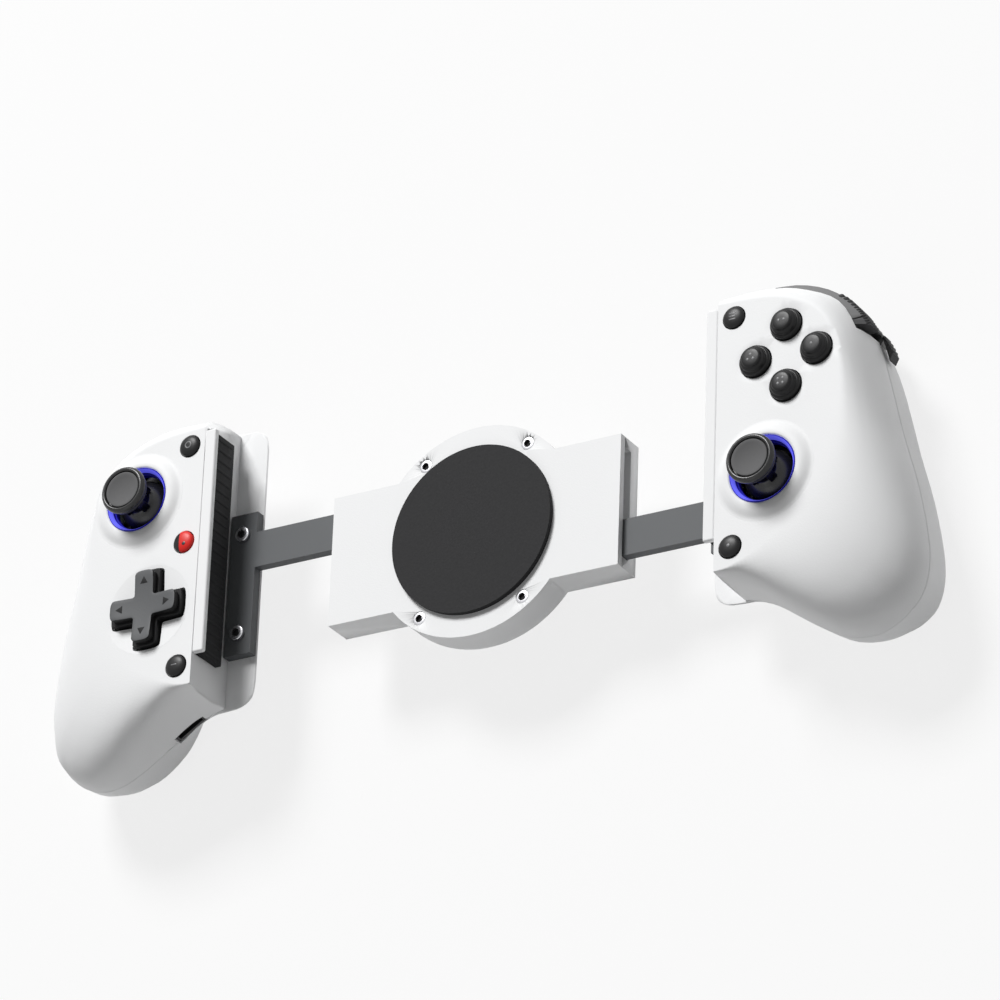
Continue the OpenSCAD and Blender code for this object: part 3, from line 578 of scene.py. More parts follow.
class CONTROLLER_OT_clamps(bpy.types.Operator):
    """Lips over the ends of the bay and ribbed rubber pads under them"""
    bl_idname = "controller.clamps"
    bl_label = "Clamps"

    def execute(self, context):
        for side in SIDES:
            low, high = corners(f"{side}_clamp_lip")
            lip = block(f"{side}_lip", low, high, shape().lip_round, 4)
            smooth(lip)
            level_normals(lip)
            paint(lip, shell_white())
            dress(lip, f"{side}_grip", "lip_white", f"{side}_clamp_lip")
            low, high = corners(f"{side}_clamp_pad")
            inward = 1 if side == "left" else -1
            body = [block("pad", low, high, PAD_ROUND)]
            count = shape().pad_ribs
            face = high.x if side == "left" else low.x
            rib = block("rib", (face - RIB_HALF_DEPTH, -RIB_HALF_WIDTH, low.z + RIB_MARGIN),
                        (face + RIB_HALF_DEPTH, RIB_HALF_WIDTH, high.z - RIB_MARGIN), RIB_ROUND)
            for k in range(count):
                y = low.y + (high.y - low.y) * (k + 0.5) / count
                body.append(copy_of(rib, Matrix.Translation((-inward * RIB_SINK, y, 0))))
            bpy.data.objects.remove(rib)
            pad = join(body, f"{side}_pad")
            smooth(pad)
            paint(pad, rubber_black())
            dress(pad, f"{side}_grip", "pad_rubber", f"{side}_clamp_pad")
        return {"FINISHED"}


# The ring's inner and outer radius, its profile from its top, its seam, and the part of the bevel that takes
# the painted highlight
RING_INNER = 7.62
RING_OUTER = 9.0
RING_PROFILE = (
    (RING_OUTER, -0.12), (8.92, 0), (8.78, 0), (8.7, -0.06), (8.32, -0.5), (8.05, -1.0), (7.98, -1.15),
    (7.9, -1.9), (RING_INNER, -2.1),
)
RING_SEAM = 0.05 * MM
PAINTED_HIGHLIGHT_RADII = (8.0, 8.72)
PAINTED_HIGHLIGHT_DEPTH = 1.1 * MM


class CONTROLLER_OT_rings(bpy.types.Operator):
    """Rings round the sticks: a bevel in a lighter, glowing blue as painted highlight over a wall in deep
    blue as painted shade
    """
    bl_idname = "controller.rings"
    bl_label = "Rings"

    def execute(self, context):
        # Lit and shaded copies of the ring's blue: the bevel's lighter, glowing blue is a painted highlight,
        # and the wall's deep blue is painted shade
        bevel = moulded("lit ring", finish().ring, 0.4, grain=600, depth=0.002, Specular_IOR_Level=0.2,
                        Emission_Strength=0.45, Emission_Color=(*finish().ring, 1))
        wall = moulded("ring wall painted shade", finish().ring_wall_painted_shade, 0.45, grain=600, depth=0.002, Specular_IOR_Level=0.2)
        for side in SIDES:
            at = mid(f"{side}_stick_ring")
            low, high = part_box(f"{side}_stick_ring")
            foot, head = low[2], high[2]
            profile = [(RING_INNER * MM, foot), (RING_OUTER * MM, foot)]
            profile += scaled(RING_PROFILE, head)
            profile.append((RING_INNER * MM, foot + RING_SEAM))
            ring = turned(f"{side}_ring", at, profile)
            open_ends(ring)
            smooth(ring, 40)
            paint(ring, wall, bevel)
            # Bevel faces near the top take the painted highlight, and all other faces take the painted shade
            for face in ring.data.polygons:
                reach = math.hypot(face.center.x - at.x, face.center.y - at.y) / MM
                painted_highlight = PAINTED_HIGHLIGHT_RADII[0] < reach < PAINTED_HIGHLIGHT_RADII[1] and face.center.z > head - PAINTED_HIGHLIGHT_DEPTH
                face.material_index = 1 if painted_highlight else 0
            dress(ring, f"{side}_grip", "ring_blue", f"{side}_stick_ring")
        return {"FINISHED"}


# The dome under a stick: radius, angles from upright in degrees, and the inner wall's share of the radius
DOME_RADIUS = 8.35
DOME_ANGLES = range(53, 31, -3)
DOME_INNER = 0.9
# Neck from the pivot, then stem and rim from the top of the cap
STICK_NECK = ((3.7, 7.45), (3.4, 7.7), (3.3, 8.0))
STICK_STEM = ((3.2, -3.6), (3.6, -3.3))
CAP_RIM = (
    (3.2, -3.5), (5.2, -3.4), (5.7, -3.25), (6.0, -2.95), (6.08, -2.5), (6.02, -2.3), (5.92, -2.2),
    (5.92, -2.05), (6.1, -1.95), (6.36, -1.8), (6.48, -1.5), (6.5, -1.15), (6.44, -0.75), (6.25, -0.35),
    (5.98, -0.1), (5.7, 0), (5.45, -0.04), (5.25, -0.18), (5.15, -0.4), (5.12, -1.3), (4.9, -1.35),
)
# Hollow of the cap, with heights as shares of its depth
CAP_DISH = (
    (4.9, -1), (4.9, -0.38), (4.82, -0.28), (4.6, -0.25), (4, -0.42), (3.2, -0.62), (2.2, -0.8),
    (1.2, -0.91), (0.3, -0.95),
)
# Lugs on the neck: how many, the angle of the first, corners, rounding and drop under the top of the cap
LUGS = 4
LUG_TURN = 45
LUG_LOW = (-1.2 * MM, 2.6 * MM, 0)
LUG_HIGH = (1.2 * MM, 4.45 * MM, 3.7 * MM)
LUG_ROUND = 0.35 * MM
LUG_DROP = 8.1 * MM


class CONTROLLER_OT_sticks(bpy.types.Operator):
    """Sticks: hollow cap with a raised rim on a lugged neck over a dome"""
    bl_idname = "controller.sticks"
    bl_label = "Sticks"

    def execute(self, context):
        for side in SIDES:
            head = top(f"{side}_stick_cap")
            centre = mid(f"{side}_stick_ring")
            pivot = mid(f"{side}_stick_pivot").z
            turns = [math.radians(angle) for angle in DOME_ANGLES]
            dome = [(DOME_RADIUS * math.sin(turn), DOME_RADIUS * math.cos(turn)) for turn in turns]
            inner = [(r * DOME_INNER, h * DOME_INNER) for r, h in reversed(dome[:3])]
            profile = scaled(inner + dome, pivot) + scaled(STICK_NECK, pivot) + scaled(STICK_STEM, head)
            body = turned("body", centre, profile)
            cap = turned("cap", centre, scaled(CAP_RIM, head))
            lugs = []
            for k in range(LUGS):
                lug = block("lug", LUG_LOW, LUG_HIGH, LUG_ROUND)
                place = Matrix.Translation((centre.x, centre.y, head - LUG_DROP))
                lug.data.transform(place @ Matrix.Rotation(math.radians(LUG_TURN + 360 / LUGS * k), 4, "Z"))
                lugs.append(lug)
            stick = join([body, cap] + lugs, f"{side}_stick_body")
            smooth(stick, 38)
            paint(stick, stick_black())
            dress(stick, f"{side}_stick", "stick_black", f"{side}_stick_cap")
            # The hollow top's grey is a painted reflection
            plate = turned(f"{side}_stick_top", centre, scaled(CAP_DISH, head, up=shape().cap_hollow))
            smooth(plate, 50)
            paint(plate, cap_painted_reflection())
            dress(plate, f"{side}_stick", "stick_black")
        return {"FINISHED"}


# Crowns: radii as shares of the button's radius, heights from the face up to the crown's own height
FACE_CROWN_HEIGHT = 2.8
FACE_CROWN = (
    (1, -1.8), (1, 0.5), (0.985, 0.75), (0.93, 0.92), (0.86, 0.98), (0.845, 1.1), (0.835, 1.55), (0.8, 1.85),
    (0.735, 2.04), (0.67, 2.1), (0.65, 2.2), (0.635, 2.45), (0.6, 2.64), (0.5, 2.74), (0.3, 2.79),
    (0.1, FACE_CROWN_HEIGHT),
)
SMALL_CROWN_HEIGHT = 1.1
SMALL_CROWN = (
    (1, -1.8), (1, 0.3), (0.985, 0.45), (0.95, 0.58), (0.88, 0.7), (0.78, 0.83), (0.64, 0.95), (0.45, 1.04),
    (0.25, 1.085), (0.1, SMALL_CROWN_HEIGHT),
)
SMALL_CROWN_STEPS = 64
# Raised marks: their drop under the crown's top, profiles, lengths and places in millimetres
MARK_DROP = 0.06 * MM
DOT_PROFILE = ((1, -0.3), (1, 0.02), (0.85, 0.07), (0.5, 0.1))
DOT_STEPS = 24
RING_MARK = ((0.62, -0.3), (1, -0.3), (1, 0.02), (0.95, 0.06), (0.67, 0.06), (0.62, 0.02), (0.62, -0.29))
RING_MARK_STEPS = 40
FACE_DOT = 0.42
SMALL_DOT = 0.5
BAR_HALF_WIDTH = 0.17
BAR_FOOT = 0.3 * MM
BAR_RISE = 0.07 * MM
BAR_ROUND = 0.05 * MM
LONG_BAR = 1.9
SHORT_BAR = 1.7
OUTER_BARS = (-0.8, 0.8)
OUTER_BAR_DROP = 0.02 * MM
CAPTURE_DOT = 0.55
CAPTURE_DOT_PLACE = (0.55, -0.85)
CAPTURE_DOT_DROP = 0.03 * MM
SMALL_BUTTONS = ("left_upper_button", "left_lower_button", "right_upper_button", "right_lower_button",
                 "capture_button")


def dots(at, z, places, size):
    """Small raised dots on a crown."""
    return [turned("dot", (at[0] + x * MM, at[1] + y * MM), scaled(DOT_PROFILE, z, size * MM), DOT_STEPS)
            for x, y in places]


def bars(at, z, rows, length):
    """Small raised bars on a crown."""
    half = length / 2 * MM
    return [block("bar", (at[0] - half, at[1] + (y - BAR_HALF_WIDTH) * MM, z - BAR_FOOT),
                  (at[0] + half, at[1] + (y + BAR_HALF_WIDTH) * MM, z + BAR_RISE), BAR_ROUND, 2)
            for y in rows]


def small_mark(node, at, level):
    """The raised mark of a small button: a ring, bars or a dot."""
    if node == "left_upper_button":
        ring = turned("ring_mark", at, scaled(RING_MARK, level), RING_MARK_STEPS)
        open_ends(ring)
        return [ring]
    if node == "right_upper_button":
        return bars(at, level, (0,), LONG_BAR) + bars(at, level - OUTER_BAR_DROP, OUTER_BARS, LONG_BAR)
    if node == "left_lower_button":
        return bars(at, level, (0,), SHORT_BAR)
    if node == "right_lower_button":
        return dots(at, level, ((0, 0),), SMALL_DOT)
    return dots(at, level - CAPTURE_DOT_DROP, (CAPTURE_DOT_PLACE,), CAPTURE_DOT)


class CONTROLLER_OT_buttons(bpy.types.Operator):
    """Round buttons: stepped crowns with plain raised marks"""
    bl_idname = "controller.buttons"
    bl_label = "Buttons"

    def execute(self, context):
        grey = moulded("mark grey", (0.11, 0.11, 0.115), 0.4, grain=1500, depth=0.004)
        for place, spots in FACE_DOTS.items():
            node = f"face_button_{place}"
            at, high = mid(node), top(node)
            tall = (high - face_height) / FACE_CROWN_HEIGHT
            crown = turned(f"{node}_cap", at, scaled(FACE_CROWN, face_height, shape().face_button, tall))
            smooth(crown, 40)
            paint(crown, button_black())
            dress(crown, node, "button_black", node)
            mark = join(dots(at, high - MARK_DROP, spots, FACE_DOT), f"{node}_dots")
            smooth(mark, 50)
            paint(mark, grey)
            dress(mark, node, "button_black")
        for node in SMALL_BUTTONS:
            capture = node == "capture_button"
            at, high = mid(node), top(node)
            tall = (high - face_height) / SMALL_CROWN_HEIGHT
            profile = scaled(SMALL_CROWN, face_height, shape().small_button, tall)
            crown = turned(f"{node}_cap", at, profile, SMALL_CROWN_STEPS)
            smooth(crown, 40)
            paint(crown, capture_red(at) if capture else button_black())
            dress(crown, node, "capture_red" if capture else "button_black", node)
            mark = join(small_mark(node, at, high - MARK_DROP), f"{node}_mark")
            smooth(mark, 50)
            paint(mark, stick_black() if capture else grey)
            dress(mark, node, "button_black")
        return {"FINISHED"}


# Where the capture button turns from black to red, in millimetres from its middle
BLACK_END = -0.95
RED_START = -0.8


def capture_red(at):
    """Gloss red with a black side."""
    material = moulded("capture red", finish().red, 0.36, grain=900, depth=0.003, Specular_IOR_Level=0.25)
    tree = material.node_tree
    shader = tree.nodes["Principled BSDF"]
    tint = shader.inputs["Base Color"].links[0].from_node
    add, link = tree.nodes.new, tree.links.new
    place, split, side = add("ShaderNodeTexCoord"), add("ShaderNodeSeparateXYZ"), add("ShaderNodeMapRange")
    link(place.outputs["Object"], split.inputs["Vector"])
    link(split.outputs["X"], side.inputs["Value"])
    side.inputs["From Min"].default_value = at.x + BLACK_END * MM
    side.inputs["From Max"].default_value = at.x + RED_START * MM
    both = add("ShaderNodeMix")
    both.data_type = "RGBA"
    both.inputs["A"].default_value = (*finish().button, 1)
    link(side.outputs["Result"], both.inputs["Factor"])
    link(tint.outputs["Result"], both.inputs["B"])
    link(both.outputs["Result"], shader.inputs["Base Color"])
    return material


# Hollow in the cross: its radius, and the grid of cuts that lets the top bend
HOLLOW_RADIUS = 8.6 * MM
HOLLOW_CUTS = 11
CUT_PITCH = 0.85 * MM
CUT_OFFSET = 0.02 * MM
# Ends and corners of a cross
CROSS_BOW = 0.5 * MM
BOW_TAPER = 0.5
CORNER_ROUND = 0.7 * MM
CORNER_SEGMENTS = 4
# The dish round the cross, and the lining that stands over it, least at its edge
DISH_WIDTH = 25.5 * MM
DISH_DEPTH = 0.9 * MM
LINING_REACH = 12.4 * MM
LINING_STEPS = 16
LINING_EDGE = 0.03 * MM
LINING_RISE = 0.07 * MM
LINING_RUN = 2 * MM
LINING_DROP = 1.75 * MM
CROSS_GAP = 0.6 * MM
OPENING_DROP = 3 * MM
OPENING_RISE = 1 * MM
# Foot and top of the cross from the face, the step between them, and what of the top is painted grey as a
# painted reflection
FOOT_DROP = 2.6 * MM
FOOT_RISE = 1.0 * MM
TOP_START = 0.9 * MM
TIER_STEP = 0.8 * MM
TIER_ROUND = 0.2 * MM
PAINTED_REFLECTION_TILT = 0.75
PAINTED_REFLECTION_START = 2 * MM
# Arrows
ARROWS = 4
ARROW_RADIUS = 1.3 * MM
ARROW_DEPTH = 0.5 * MM
ARROW_ROUND = 0.04 * MM
ARROW_REACH = 6.9 * MM
ARROW_DROP = 0.2 * MM


def sunk(point, at):
    """How far the round hollow of the cross lies under a point."""
    share = math.hypot(point.x - at.x, point.y - at.y) / HOLLOW_RADIUS
    return shape().cross_hollow * max(0, 1 - share * share)


def hollow(obj, at):
    """Lays a grid of cuts over a cross and presses its top into a shallow round hollow."""
    for k in range(-HOLLOW_CUTS, HOLLOW_CUTS + 1):
        for normal in ((1, 0, 0), (0, 1, 0)):
            slice_off(obj, at + Vector(normal) * (k * CUT_PITCH + CUT_OFFSET), normal)
    foot = min(v.co.z for v in obj.data.vertices)
    head = max(v.co.z for v in obj.data.vertices)
    for vertex in obj.data.vertices:
        share = min(max((vertex.co.z - foot) / (head - foot) * 2 - 1, 0), 1)
        vertex.co.z -= sunk(vertex.co, at) * share
    obj.data.update()


def cross_block(name, at, span, arm, foot, head):
    """A cross between two heights, with bowed ends and rounded corners."""
    clear_selection()
    bpy.ops.mesh.primitive_plane_add(size=arm, location=(at.x, at.y, foot))
    obj = settle(bpy.context.object, name)

    def on_side(point, x, y):
        ahead = (point.x - at.x) * x + (point.y - at.y) * y
        aside = (point.x - at.x) * y + (point.y - at.y) * x
        return abs(ahead - arm / 2) < TINY and abs(aside) < arm / 2 + TINY

    reach = (span - arm) / 2 - CROSS_BOW
    for x, y in ((1, 0), (0, 1), (-1, 0), (0, -1)):
        choose(obj, lambda a, b: on_side(a, x, y) and on_side(b, x, y), "EDGE")
        draw_out(x * reach, y * reach, 0)
        draw_out(x * CROSS_BOW, y * CROSS_BOW, 0)
        taper = (1 if x else BOW_TAPER, 1 if y else BOW_TAPER, 1)
        bpy.ops.transform.resize(value=taper, center_override=at)
    bpy.ops.mesh.select_mode(type="FACE")
    bpy.ops.mesh.select_all(action="SELECT")
    draw_out(0, 0, head - foot)
    bpy.ops.mesh.select_all(action="SELECT")
    bpy.ops.mesh.normals_make_consistent(inside=False)
    bpy.ops.mesh.dissolve_limited(angle_limit=math.radians(1))
    choose(obj, lambda a, b: (a - b).xy.length < TINY, "EDGE")
    bpy.ops.mesh.bevel(offset=CORNER_ROUND, segments=CORNER_SEGMENTS, affect="EDGES")
    bpy.ops.object.mode_set(mode="OBJECT")
    return obj


def dish_lining(at, span, arm):
    """The shell's hollow round the cross, with a close opening for it."""
    ball = (DISH_WIDTH * DISH_WIDTH / 4 + DISH_DEPTH * DISH_DEPTH) / (2 * DISH_DEPTH)
    profile = [(LINING_REACH, face_height - LINING_DROP)]
    for k in range(LINING_STEPS):
        r = LINING_REACH * (1 - k / LINING_STEPS)
        proud = LINING_EDGE + LINING_RISE * min(1, (LINING_REACH - r) / LINING_RUN)
        profile.append((r, face_height - DISH_DEPTH + ball - math.sqrt(ball * ball - r * r) + proud))
    lining = turned("cross_dish", at, profile)
    opening = cross_block("opening", at, span + 2 * CROSS_GAP, arm + 2 * CROSS_GAP,
                          face_height - OPENING_DROP, face_height + OPENING_RISE)
    carve(lining, opening)
    smooth(lining, 34)
    level_normals(lining)
    paint(lining, shell_white())
    dress(lining, "left_grip", "shell_white")


class CONTROLLER_OT_cross(bpy.types.Operator):
    """Direction pad: stepped cross with bowed ends, dished top and arrow marks"""
    bl_idname = "controller.cross"
    bl_label = "Direction pad"

    def execute(self, context):
        black = moulded("cross foot", finish().button, 0.5, grain=1500, depth=0.006, Specular_IOR_Level=0.15)
        # The grey on the cross top's upward faces is a painted reflection on black plastic
        grey = moulded("cross top painted reflection", finish().cross, 0.5, grain=2200, depth=0.015, Specular_IOR_Level=0.3)
        low, high = corners("dpad")
        at = (low + high) / 2
        span, arm = high.x - low.x, shape().cross_arm
        base = cross_block("cross_foot", at, span, arm, face_height - FOOT_DROP, face_height + FOOT_RISE)
        crown = cross_block("cross_top", at, span - 2 * TIER_STEP, arm - 2 * TIER_STEP,
                            face_height + TOP_START, high.z)
        for tier in (base, crown):
            round_edges(tier, TIER_ROUND, 3, 50)
        hollow(crown, at)
        smooth(base, 35)
        level_normals(base)
        paint(base, black)
        dress(base, "dpad", "dpad_grey", "dpad")
        smooth(crown, 30)
        paint(crown, black, grey)
        # Upward faces of the top take the painted reflection, and the rest stay black
        for face in crown.data.polygons:
            upper = face.normal.z > PAINTED_REFLECTION_TILT and face.center.z > face_height + PAINTED_REFLECTION_START
            face.material_index = 1 if upper else 0
        dress(crown, "dpad", "dpad_grey")
        dish_lining(at, span, arm)
        marks = []
        for k in range(ARROWS):
            clear_selection()
            bpy.ops.mesh.primitive_cylinder_add(vertices=3, radius=ARROW_RADIUS, depth=ARROW_DEPTH)
            mark = settle(bpy.context.object, "mark")
            round_edges(mark, ARROW_ROUND, 2)
            turn = Matrix.Rotation(math.tau / ARROWS * k, 4, "Z") @ Matrix.Translation((0, ARROW_REACH, 0))
            mark.data.transform(Matrix.Translation((at.x, at.y, high.z - ARROW_DROP)) @ turn)
            for vertex in mark.data.vertices:
                vertex.co.z -= sunk(vertex.co, at)
            marks.append(mark)
        arrows = join(marks, "cross_arrows")
        smooth(arrows)
        paint(arrows, moulded("arrow mark", (0.012, 0.012, 0.0125), 0.6, grain=1500, depth=0.004,
                              Specular_IOR_Level=0.15))
        dress(arrows, "dpad", "dpad_grey")
        return {"FINISHED"}


# Ribbed skins: steps that measure an edge, the wave of one rib, its rim, the wall, and a step along the edge
EDGE_STEPS = 40
RIB_WAVE = (0.04, 0.75, 1, 0.75)
RIM_PROUD = 0.04
FEWEST_RIBS = 4
SKIN_WALL = 0.6 * MM
EDGE_AHEAD = 0.01


def shoulder_spot(side, spot, z):
    """A place on a shoulder piece, from its plan in millimetres."""
    mirror = -1 if side == "left" else 1
    return Vector((mirror * (wall_reach + spot[0] * MM), bay_middle + spot[1] * MM, z))


def ribbed_skin(name, side, edge, heights, depths, first=0.0, last=1.0, crest=0):
    """A thin ribbed skin over a shoulder piece: a grid laid along its edge and down its face.

    The ribs of the first rows, the crest, rise upward and the others outward."""
    spots = [spline(edge, k / EDGE_STEPS) for k in range(EDGE_STEPS + 1)]
    length = sum((b - a).length for a, b in zip(spots, spots[1:])) * (last - first)
    ribs = max(FEWEST_RIBS, round(length * MM / shape().rib_pitch))
    columns, rows = ribs * len(RIB_WAVE), len(heights)
    clear_selection()
    bpy.ops.mesh.primitive_grid_add(x_subdivisions=columns, y_subdivisions=rows - 1, size=1)
    skin = settle(bpy.context.object, name)
    count = columns + 1
    rise = shape().rib_rise / MM
    for i, vertex in enumerate(skin.data.vertices):
        u, row = i % count, i // count
        share = first + (last - first) * u / columns
        point = spline(edge, share)
        ahead = spline(edge, min(share + EDGE_AHEAD, 1)) - spline(edge, max(share - EDGE_AHEAD, 0))
        out = Vector((-ahead.y, ahead.x)).normalized()
        proud = RIB_WAVE[u % len(RIB_WAVE)] * rise if 0 < row < rows - 1 else RIM_PROUD
        lift = proud * MM if row < crest else 0
        vertex.co = shoulder_spot(side, point + out * (proud - lift / MM - depths[row]), heights[row] + lift)
    skin.data.update()
    edit_all(skin)
    face_outwards()
    middle = skin.data.polygons[len(skin.data.polygons) // 2]
    if middle.normal.x * (-1 if side == "left" else 1) + middle.normal.y < 0:
        skin.data.flip_normals()
    thick = skin.modifiers.new("wall", "SOLIDIFY")
    thick.thickness = SKIN_WALL
    thick.offset = -1
    bpy.ops.object.modifier_apply(modifier="wall")
    return skin


# The notch across a bumper, as shares of its edge, its depth, and how far up a face of its top looks
NOTCH_SHARES = (0.83, 0.86)
NOTCH_DEPTH = 0.45 * MM
TOP_TILT = 0.3


class CONTROLLER_OT_bumpers(bpy.types.Operator):
    """Bumpers: sloping grey top, black ribbed face and an end block behind a notch"""
    bl_idname = "controller.bumpers"
    bl_label = "Bumpers"

    def execute(self, context):
        # The end block's grey is lighter than the black plastic: painted light on an end face that lies in
        # shade
        end_painted_light = moulded("end block in painted light", (0.07, 0.07, 0.072), 0.4, grain=2200, depth=0.01, Specular_IOR_Level=0.3)
        for side in SIDES:
            node = f"{side}_bumper"
            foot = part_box(node)[0][2]
            bar = solid_copy(node, f"{node}_bar")
            notch = []
            for share in NOTCH_SHARES:
                here, ahead = spline(BUMPER_EDGE, share), spline(BUMPER_EDGE, share + EDGE_AHEAD)
                place = shoulder_spot(side, here, foot)
                normal = (shoulder_spot(side, ahead, foot) - place).normalized()
                slice_off(bar, place, normal)
                notch.append((place, normal))

            def past(face, k):
                return (Vector(face.center) - notch[k][0]).dot(notch[k][1]) > 0

            choose(bar, lambda f: f.normal.z > TOP_TILT and past(f, 0) and not past(f, 1))
            draw_out(0, 0, -NOTCH_DEPTH)
            bpy.ops.object.mode_set(mode="OBJECT")
            smooth(bar, 30)
            level_normals(bar)
            paint(bar, trigger_black(), bumper_grey(), end_painted_light)
            # Faces past the notch take the end block's painted light
            for face in bar.data.polygons:
                if past(face, 1):
                    face.material_index = 2
                elif face.normal.z > TOP_TILT and not past(face, 0):
                    face.material_index = 1
            dress(bar, node, "bumper_grey", node)
            rows = [foot + h * MM for h in BUMPER_ROWS]
            skin = ribbed_skin(f"{node}_ribs", side, BUMPER_EDGE, rows, BUMPER_DEPTHS, *BUMPER_SHARES,
                               BUMPER_CREST)
            smooth(skin, 50)
            paint(skin, trigger_black())
            dress(skin, node, "bumper_grey")
        return {"FINISHED"}


class CONTROLLER_OT_triggers(bpy.types.Operator):
    """Triggers: curved black levers with ribs round the corner"""
    bl_idname = "controller.triggers"
    bl_label = "Triggers"

    def execute(self, context):
        for side in SIDES:
            node = f"{side}_trigger"
            low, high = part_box(node)
            lever = solid_copy(node, f"{node}_lever")
            smooth(lever, 30)
            level_normals(lever)
            paint(lever, trigger_black())
            dress(lever, node, "trigger_black", node)
            curve = [spline(TRIGGER_CURVE, k / TRIGGER_STEPS) for k in range(TRIGGER_STEPS + 1)]
            heights = [high[2] - (high[2] - low[2]) * (1 - q.y) for q in curve]
            heights[0] -= TRIGGER_DROP
            depths = [q.x for q in curve]
            skin = ribbed_skin(f"{node}_ribs", side, TRIGGER_EDGE, heights, depths, *TRIGGER_SHARES)
            mirror = -1 if side == "left" else 1
            x, y = mirror * TRIGGER_CHORD[0], TRIGGER_CHORD[1]
            tilt = math.radians(TRIGGER_TAPER)
            cuts = ((x * math.cos(tilt), y * math.cos(tilt), -math.sin(tilt)), (-x, -y, 0))
            for reach, normal in zip(TRIGGER_ENDS, cuts):
                end = Vector(TRIGGER_PIN) + Vector(TRIGGER_CHORD) * reach
                slice_off(skin, shoulder_spot(side, end, high[2]), normal, clear_outer=True, use_fill=True)
            rows = [high[2] + h * MM for h in WING_ROWS]
            wing = ribbed_skin("wing", side, TRIGGER_EDGE, rows, [0] * len(rows), *WING_SHARES)
            skin = join([skin, wing], f"{node}_ribs")
            smooth(skin, 50)
            paint(skin, trigger_black())
            dress(skin, node, "trigger_black")
        return {"FINISHED"}


# Screws: how exactly a point lies on their outer discs, and the least distance between two of them
SCREW_SLACK = 0.05 * MM
SCREW_APART = 7 * MM
SCREW_NODES = (
    ("hub_screws", "hub", True), ("left_arm_screws", "left_grip", True),
    ("right_arm_screws", "right_grip", True), ("left_shell_screws", "left_grip", False),
    ("right_shell_screws", "right_grip", False),
)
# A head's profile: radii as shares of its radius, heights in millimetres under its outer disc
SCREW_HEAD = ((1, 0.9), (1, 0.2), (0.94, 0.06), (0.84, 0), (0.6, 0))
SCREW_STEPS = 48
SCREW_SOCKET = ((0.5, 0.6), (0.5, -0.5))
SOCKET_SIDES = 6
SOCKET_SHADE = 0.47


def screw_places(node, upper):
    """Middles and radius of the outer discs of a node's screws."""
    points = [v.co for v in nodes[node].data.vertices]
    level = max(p.z for p in points) if upper else min(p.z for p in points)
    groups = []
    for point in points:
        if abs(point.z - level) < SCREW_SLACK:
            for group in groups:
                if (group[0] - point).length < SCREW_APART:
                    group.append(point)
                    break
            else:
                groups.append([point])
    places = [Vector([(min(p[k] for p in g) + max(p[k] for p in g)) / 2 for k in range(3)]) for g in groups]
    radius = max((p - places[0]).length for p in groups[0])
    return places, radius


class CONTROLLER_OT_screws(bpy.types.Operator):
    """Screw heads with rounded edges and hexagon sockets"""
    bl_idname = "controller.screws"
    bl_label = "Screws"

    def execute(self, context):
        shade = moulded("socket shade", (0.02, 0.02, 0.021), 0.6, Specular_IOR_Level=0.1)
        for node, body, upper in SCREW_NODES:
            places, radius = screw_places(node, upper)
            down = -MM if upper else MM
            head = turned("head", (0, 0), scaled(SCREW_HEAD, 0, radius, down), SCREW_STEPS)
            carve(head, turned("socket", (0, 0), scaled(SCREW_SOCKET, 0, radius, down), SOCKET_SIDES))
            heads = [copy_of(head, Matrix.Translation(place)) for place in places]
            bpy.data.objects.remove(head)
            screws = join(heads, f"{node}_heads")
            smooth(screws, 30)
            paint(screws, steel(), shade)
            for face in screws.data.polygons:
                near = min((Vector(face.center) - place).xy.length for place in places)
                face.material_index = 1 if near < radius * SOCKET_SHADE else 0
            dress(screws, body, "steel", node)
        return {"FINISHED"}


class CONTROLLER_OT_inner(bpy.types.Operator):
    """Hub and arms, charging socket and the pieces inside"""
    bl_idname = "controller.inner"
    bl_label = "Hub and inner pieces"

    def execute(self, context):
        for node in ("hub_back_cover", "hub_front_plate"):
            cover = solid_copy(node, f"{node}_skin")
            smooth(cover, 30)
            level_normals(cover)
            paint(cover, shell_white())
            dress(cover, "hub", "shell_white", node)
        grey = moulded("inner plastic", (0.03, 0.03, 0.032), 0.5, grain=1500, depth=0.01)
        green = moulded("board green", (0.01, 0.06, 0.025), 0.45, grain=1500, depth=0.004)
        alloy = moulded("arm grey", (0.1, 0.105, 0.11), 0.5, grain=1800, depth=0.006, Specular_IOR_Level=0.25)
        finishes = {
            "hub_pad": rubber_black(),
            "sync_pinion": moulded("brass", (0.6, 0.42, 0.16), 0.3, grain=1500, depth=0.004, Metallic=1.0),
            "battery": moulded("battery foil", (0.05, 0.09, 0.16), 0.4, grain=1200, depth=0.01),
            "charge_port": moulded("socket black", (0.015, 0.015, 0.016), 0.35, grain=1500, depth=0.004),
        }
        endings = (
            (("_board",), green),
            (("_arm",), alloy),
            (("_housing", "_yoke", "_lever", "_bracket", "_rocker", "_cradle", "_pivot", "_switches"), grey),
            (("_screws", "_pin", "_axle"), steel()),
        )
        for name in nodes:
            for ending, material in endings:
                if name.endswith(ending):
                    finishes.setdefault(name, material)
        for name, material in finishes.items():
            paint(nodes[name], material)
        return {"FINISHED"}


# The floor, the share of it that glows as seen, and the light that the world gives
FLOOR_SIZE = 6
FLOOR_COLOUR = (0.8, 0.8, 0.8, 1)
FLOOR_ROUGH = 0.9
FLOOR_GLOW = 0.8
WORLD_LIGHT = 0.17
# Lamps by name, place, size and power, and the point that they face
LAMPS = (("key", (-0.72, 1.95, 2.16), 1.0, 97), ("front", (-0.3, -1.2, 1.0), 0.9, 1.5))
LAMP_AIM = (0, 0, 0.02)
